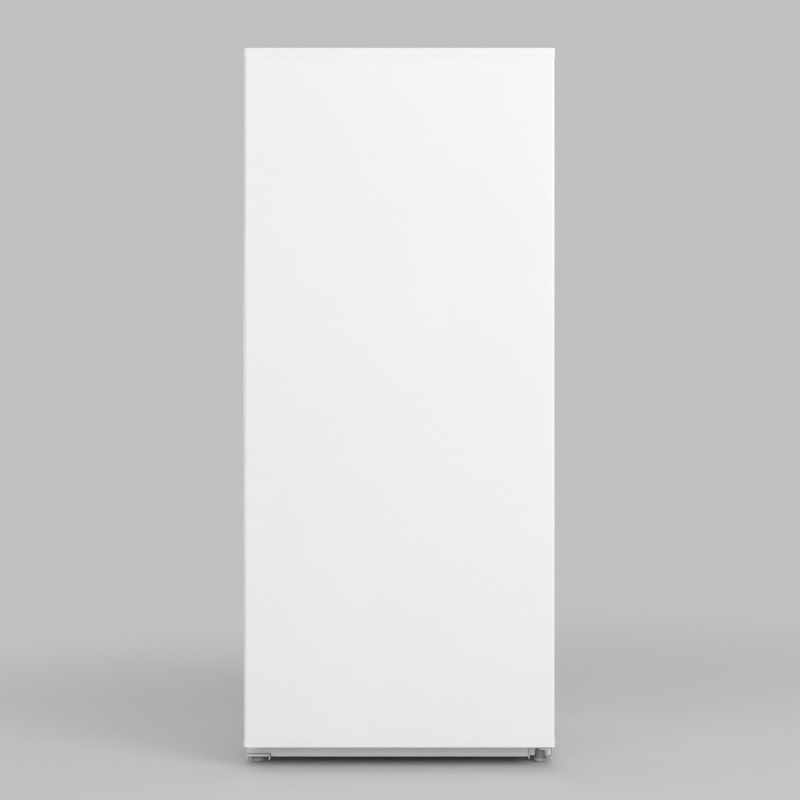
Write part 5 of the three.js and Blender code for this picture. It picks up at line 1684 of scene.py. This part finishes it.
@dataclass
class RearCover:
    """The louvred cover of the machine room, its sunk screws and the hole for the cord."""

    half: float = 413.7
    low: float = 34.0
    high: float = 269.6
    corner: float = 5.0
    front: float = 356.8
    face: float = 368.5
    wall: float = 1.5
    first_slot: float = 74.0
    pitch: float = 17.0
    rows: int = 9
    slot_ends: Flat = (90.0, 329.7)
    slot_height: float = 5.0
    gland: Flat = (-370.0, 120.0)
    gland_radius: float = 9.0
    screws: tuple[Flat, ...] = (
        (-398.0, 52.0), (398.0, 52.0), (-398.0, 252.0), (398.0, 252.0), (0.0, 252.0), (0.0, 52.0),
    )
    sunk_radius: float = 8.0

    def build(self) -> None:
        """Makes the cover."""
        bench = Bench("cabinet")
        slots = []
        for side in (-1, 1):
            near, far = sorted(side * end for end in self.slot_ends)
            slots += [(near, far, self.first_slot + self.pitch * row) for row in range(self.rows)]
        holes = [rounded((near, z), (far, z + self.slot_height), 2.4, 4) for near, far, z in slots]
        holes.append(circle(self.gland, self.gland_radius))
        holes += [circle(spot, self.sunk_radius) for spot in self.screws]
        outline = inset_box((-self.half, self.low), (self.half, self.high), self.corner, 6)
        sheet = bench.plate(Plane.FRONT, [outline(2.0), *holes], self.face - self.wall, self.face, 0.3)
        rim = bench.stacked(outline, [
            (2.2, self.face - 0.15), (1.0, self.face - 0.5), (0.25, self.face - 1.3), (0, self.face - 2.4),
            (0, self.front), (self.wall, self.front), (self.wall, self.face - 2.2),
            (2.2, self.face - self.wall),
        ], Plane.FRONT, closed=True)
        lips = [self._lip(bench, *slot) for slot in slots]
        cup = [
            (8.7, -0.2), (8.2, 0.0), (7.9, -0.6), (6.9, -4.3), (0, -4.4), (0, -4.9), (7.2, -4.9), (8.7, -0.9),
        ]
        cups = [bench.turned(cup, (x, self.face - 0.15, z), Way.BACK, 32) for x, z in self.screws]
        mesh = bench.merged([sheet, rim, *lips, *cups])
        bench.piece("louvred_cover", Finish.ZINC, mesh, ["machine_room_cover"])
        heads = [bench.screw((x, self.face - 4.5, z), Way.BACK) for x, z in self.screws]
        bench.piece("cover_screws", Finish.BRIGHT_ZINC, bench.merged(heads))

    def _lip(self, bench: Bench, near: float, far: float, z: float) -> bpy.types.Mesh:
        """Pressed lip that leans inwards over one slot.

        Args:
            bench: the bench that it is made on.
            near: the slot's lower end.
            far: the slot's higher end.
            z: the slot's height.

        Returns:
            The mesh.
        """
        section = [(-0.4, 5.2), (-1.2, 6.0), (-7.4, 1.6), (-7.4, 0.8), (-1.4, 4.9)]
        return bench.rings([
            [Plane.SIDE.point(self.face + u, z + v, x) for u, v in section] for x in (near + 1.5, far - 1.5)
        ])


@dataclass
class FrontTrim:
    """The painted rail under the opening, and the hinge bracket's flange, notched for its foot."""

    half: float = 413.8
    low: float = 56.3
    high: float = 117.7
    face: float = -298.65
    flange_low: Flat = (352.0, 25.0)
    flange_high: Flat = (412.6, 52.4)
    flange_face: float = -294.6
    flange_sheet: float = 2.0
    flange_corners: Flat = (7.0, 4.0)
    notch: Flat = (367.5, 402.5)
    notch_top: float = 45.0
    notch_corner: float = 8.0
    notch_mouth: float = 1.5

    def build(self) -> None:
        """Makes the rail's face and the flange."""
        bench = Bench("cabinet")
        (left, low), (right, high) = self.flange_low, self.flange_high
        (near, far), top = self.notch, self.notch_top
        (first, last), deep, mouth = self.flange_corners, self.notch_corner, self.notch_mouth
        outline = [
            *arc((left + first, low + first), first, 180, 270),
            *arc((near - mouth, low + mouth), mouth, 270, 360, 4),
            *arc((near + deep, top - deep), deep, 180, 90),
            *arc((far - deep, top - deep), deep, 90, 0),
            *arc((far + mouth, low + mouth), mouth, 180, 270, 4),
            *arc((right - last, low + last), last, 270, 360),
            (right, high), (left, high),
        ]
        flange = bench.plate(Plane.FRONT, [outline], self.flange_face, self.flange_face + self.flange_sheet)
        # The flange's grey is partly its own and partly painted light, lighter for light that doesn't reach
        # under the door.
        bench.piece("bracket_flange", Finish.GREY_STEEL, flange)
        rail = ((-self.half, self.face, self.low), (self.half, self.face + 0.9, self.high))
        bench.piece("front_rail", Finish.WHITE_PAINT, bench.formed([rail], edge=0.12, steps=2))


@dataclass
class Fasteners:
    """The bolts of the front brackets and the plug in the hinge cover."""

    under_right: tuple[Flat, ...] = ((364.0, -216.0), (402.0, -216.0))
    under_left: tuple[Flat, ...] = ((-366.0, -222.0), (-402.0, -222.0))
    right_height: float = 52.0
    left_height: float = 27.0
    bolt: float = 5.5
    plug: Point = (352.0, -258.0, 1926.0)

    def build(self) -> None:
        """Makes the fasteners."""
        bench = Bench("cabinet")
        spots = [(*spot, self.right_height) for spot in self.under_right]
        spots += [(*spot, self.left_height) for spot in self.under_left]
        heads = [bench.screw(spot, Way.DOWN, self.bolt) for spot in spots]
        bench.piece("bracket_bolts", Finish.BRIGHT_ZINC, bench.merged(heads))
        cap = [(0, -0.2), (7.0, -0.2), (7.0, 0.3), (6.2, 0.9), (3.6, 1.25), (0, 1.3)]
        bench.piece("hinge_cover_plug", Finish.WHITE_PLASTIC, bench.turned(cap, self.plug, sides=32))


@dataclass
class Compressor:
    """The welded can on its plate, with rubber grommets and sleeves under its corners."""

    centre: Flat = (120.0, 201.5)
    grommets: Flat = (79.0, 60.0)
    plate_low: Flat = (31.0, 131.5)
    plate_high: Flat = (209.0, 271.5)
    plate_heights: Flat = (40.6, 43.6)
    plate_hole: float = 7.0

    def build(self) -> None:
        """Makes the compressor."""
        bench = Bench("cabinet")
        can = [
            (0, 43.4), (50, 43.4), (62, 46.0), (69, 50.5), (72, 58), (72, 119.4), (73.4, 120.4), (75, 120.9),
            (75, 128.0), (73.4, 128.5), (72, 129.6), (72, 150), (70.4, 160), (66, 170), (58, 179), (46, 186),
            (32, 189.8), (0, 190.6),
        ]
        shell = bench.turned(can, (*self.centre, 0.0), sides=96)
        (x, y), (across, along) = self.centre, self.grommets
        spots = [(x + sx * across, y + sy * along) for sx in (-1, 1) for sy in (-1, 1)]
        holes = [circle(spot, self.plate_hole, 24) for spot in spots]
        outline = rounded(self.plate_low, self.plate_high, 10, 5)
        plate = bench.plate(Plane.FLOOR, [outline, *holes], *self.plate_heights, 0.5)
        bench.piece("compressor_can", Finish.BLACK_PAINT, bench.merged([shell, plate]), ["compressor"])
        sleeve = [(8.2, 29), (11.2, 29), (11.8, 31), (10.6, 34), (11.8, 37), (12.2, 40.4), (8.2, 40.4)]
        cap = [(0, 43.8), (9, 43.8), (9.4, 45), (8.4, 46.4), (6.8, 47), (0, 47)]
        shapes = []
        for spot in spots:
            shapes.append(bench.turned(sleeve, (*spot, 0.0), sides=32, closed=True))
            shapes.append(bench.turned(cap, (*spot, 0.0), sides=32))
        bench.piece("grommets", Finish.BLACK_RUBBER, bench.merged(shapes))


# --------------------------------------------------------------- carried nodes


class CarriedOver:
    """The CAD nodes that keep their shape and get a finish."""

    def build(self) -> None:
        """Dresses every CAD node that is still shown."""
        bench = Bench("cabinet")
        usual = {finish.slot: finish for finish in reversed(Finish)}
        slots = {part["node"]: part["material_slot"] for part in frame["record"]["subparts"]}
        for node, obj in frame["nodes"].items():
            if not obj.hide_render:
                # Painted light: the kickplate gets a near-white copy of the grey plastic, for light that
                # doesn't reach under the door.
                bench.carry(node, Finish.KICK if node == "kickplate" else usual[slots[node]])


def main() -> None:
    """Builds the freezer's looks in order."""
    logging.basicConfig(level=logging.INFO, format="%(message)s")
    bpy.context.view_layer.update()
    parts = (
        Stage(), DoorShell(), DoorCaps(), DoorLining(), DoorBins(), BottomDrawer(),
        Foot("left", -385.0, 24.0, 48.0), Foot("right", 385.0, 40.0, 68.0),
        Roller("left", -390.7, Way.LEFT), Roller("right", 390.7, Way.RIGHT),
        BackPanel(), RearCover(), TemperatureKnob(), Lamp(), AirCover(),
        *(Shelf(number) for number in range(1, 5)), FrontTrim(), Fasteners(), Compressor(), CarriedOver(),
    )
    for part in parts:
        log.info("-- %s", type(part).__name__)
        part.build()


if __name__ == "__main__":
    main()
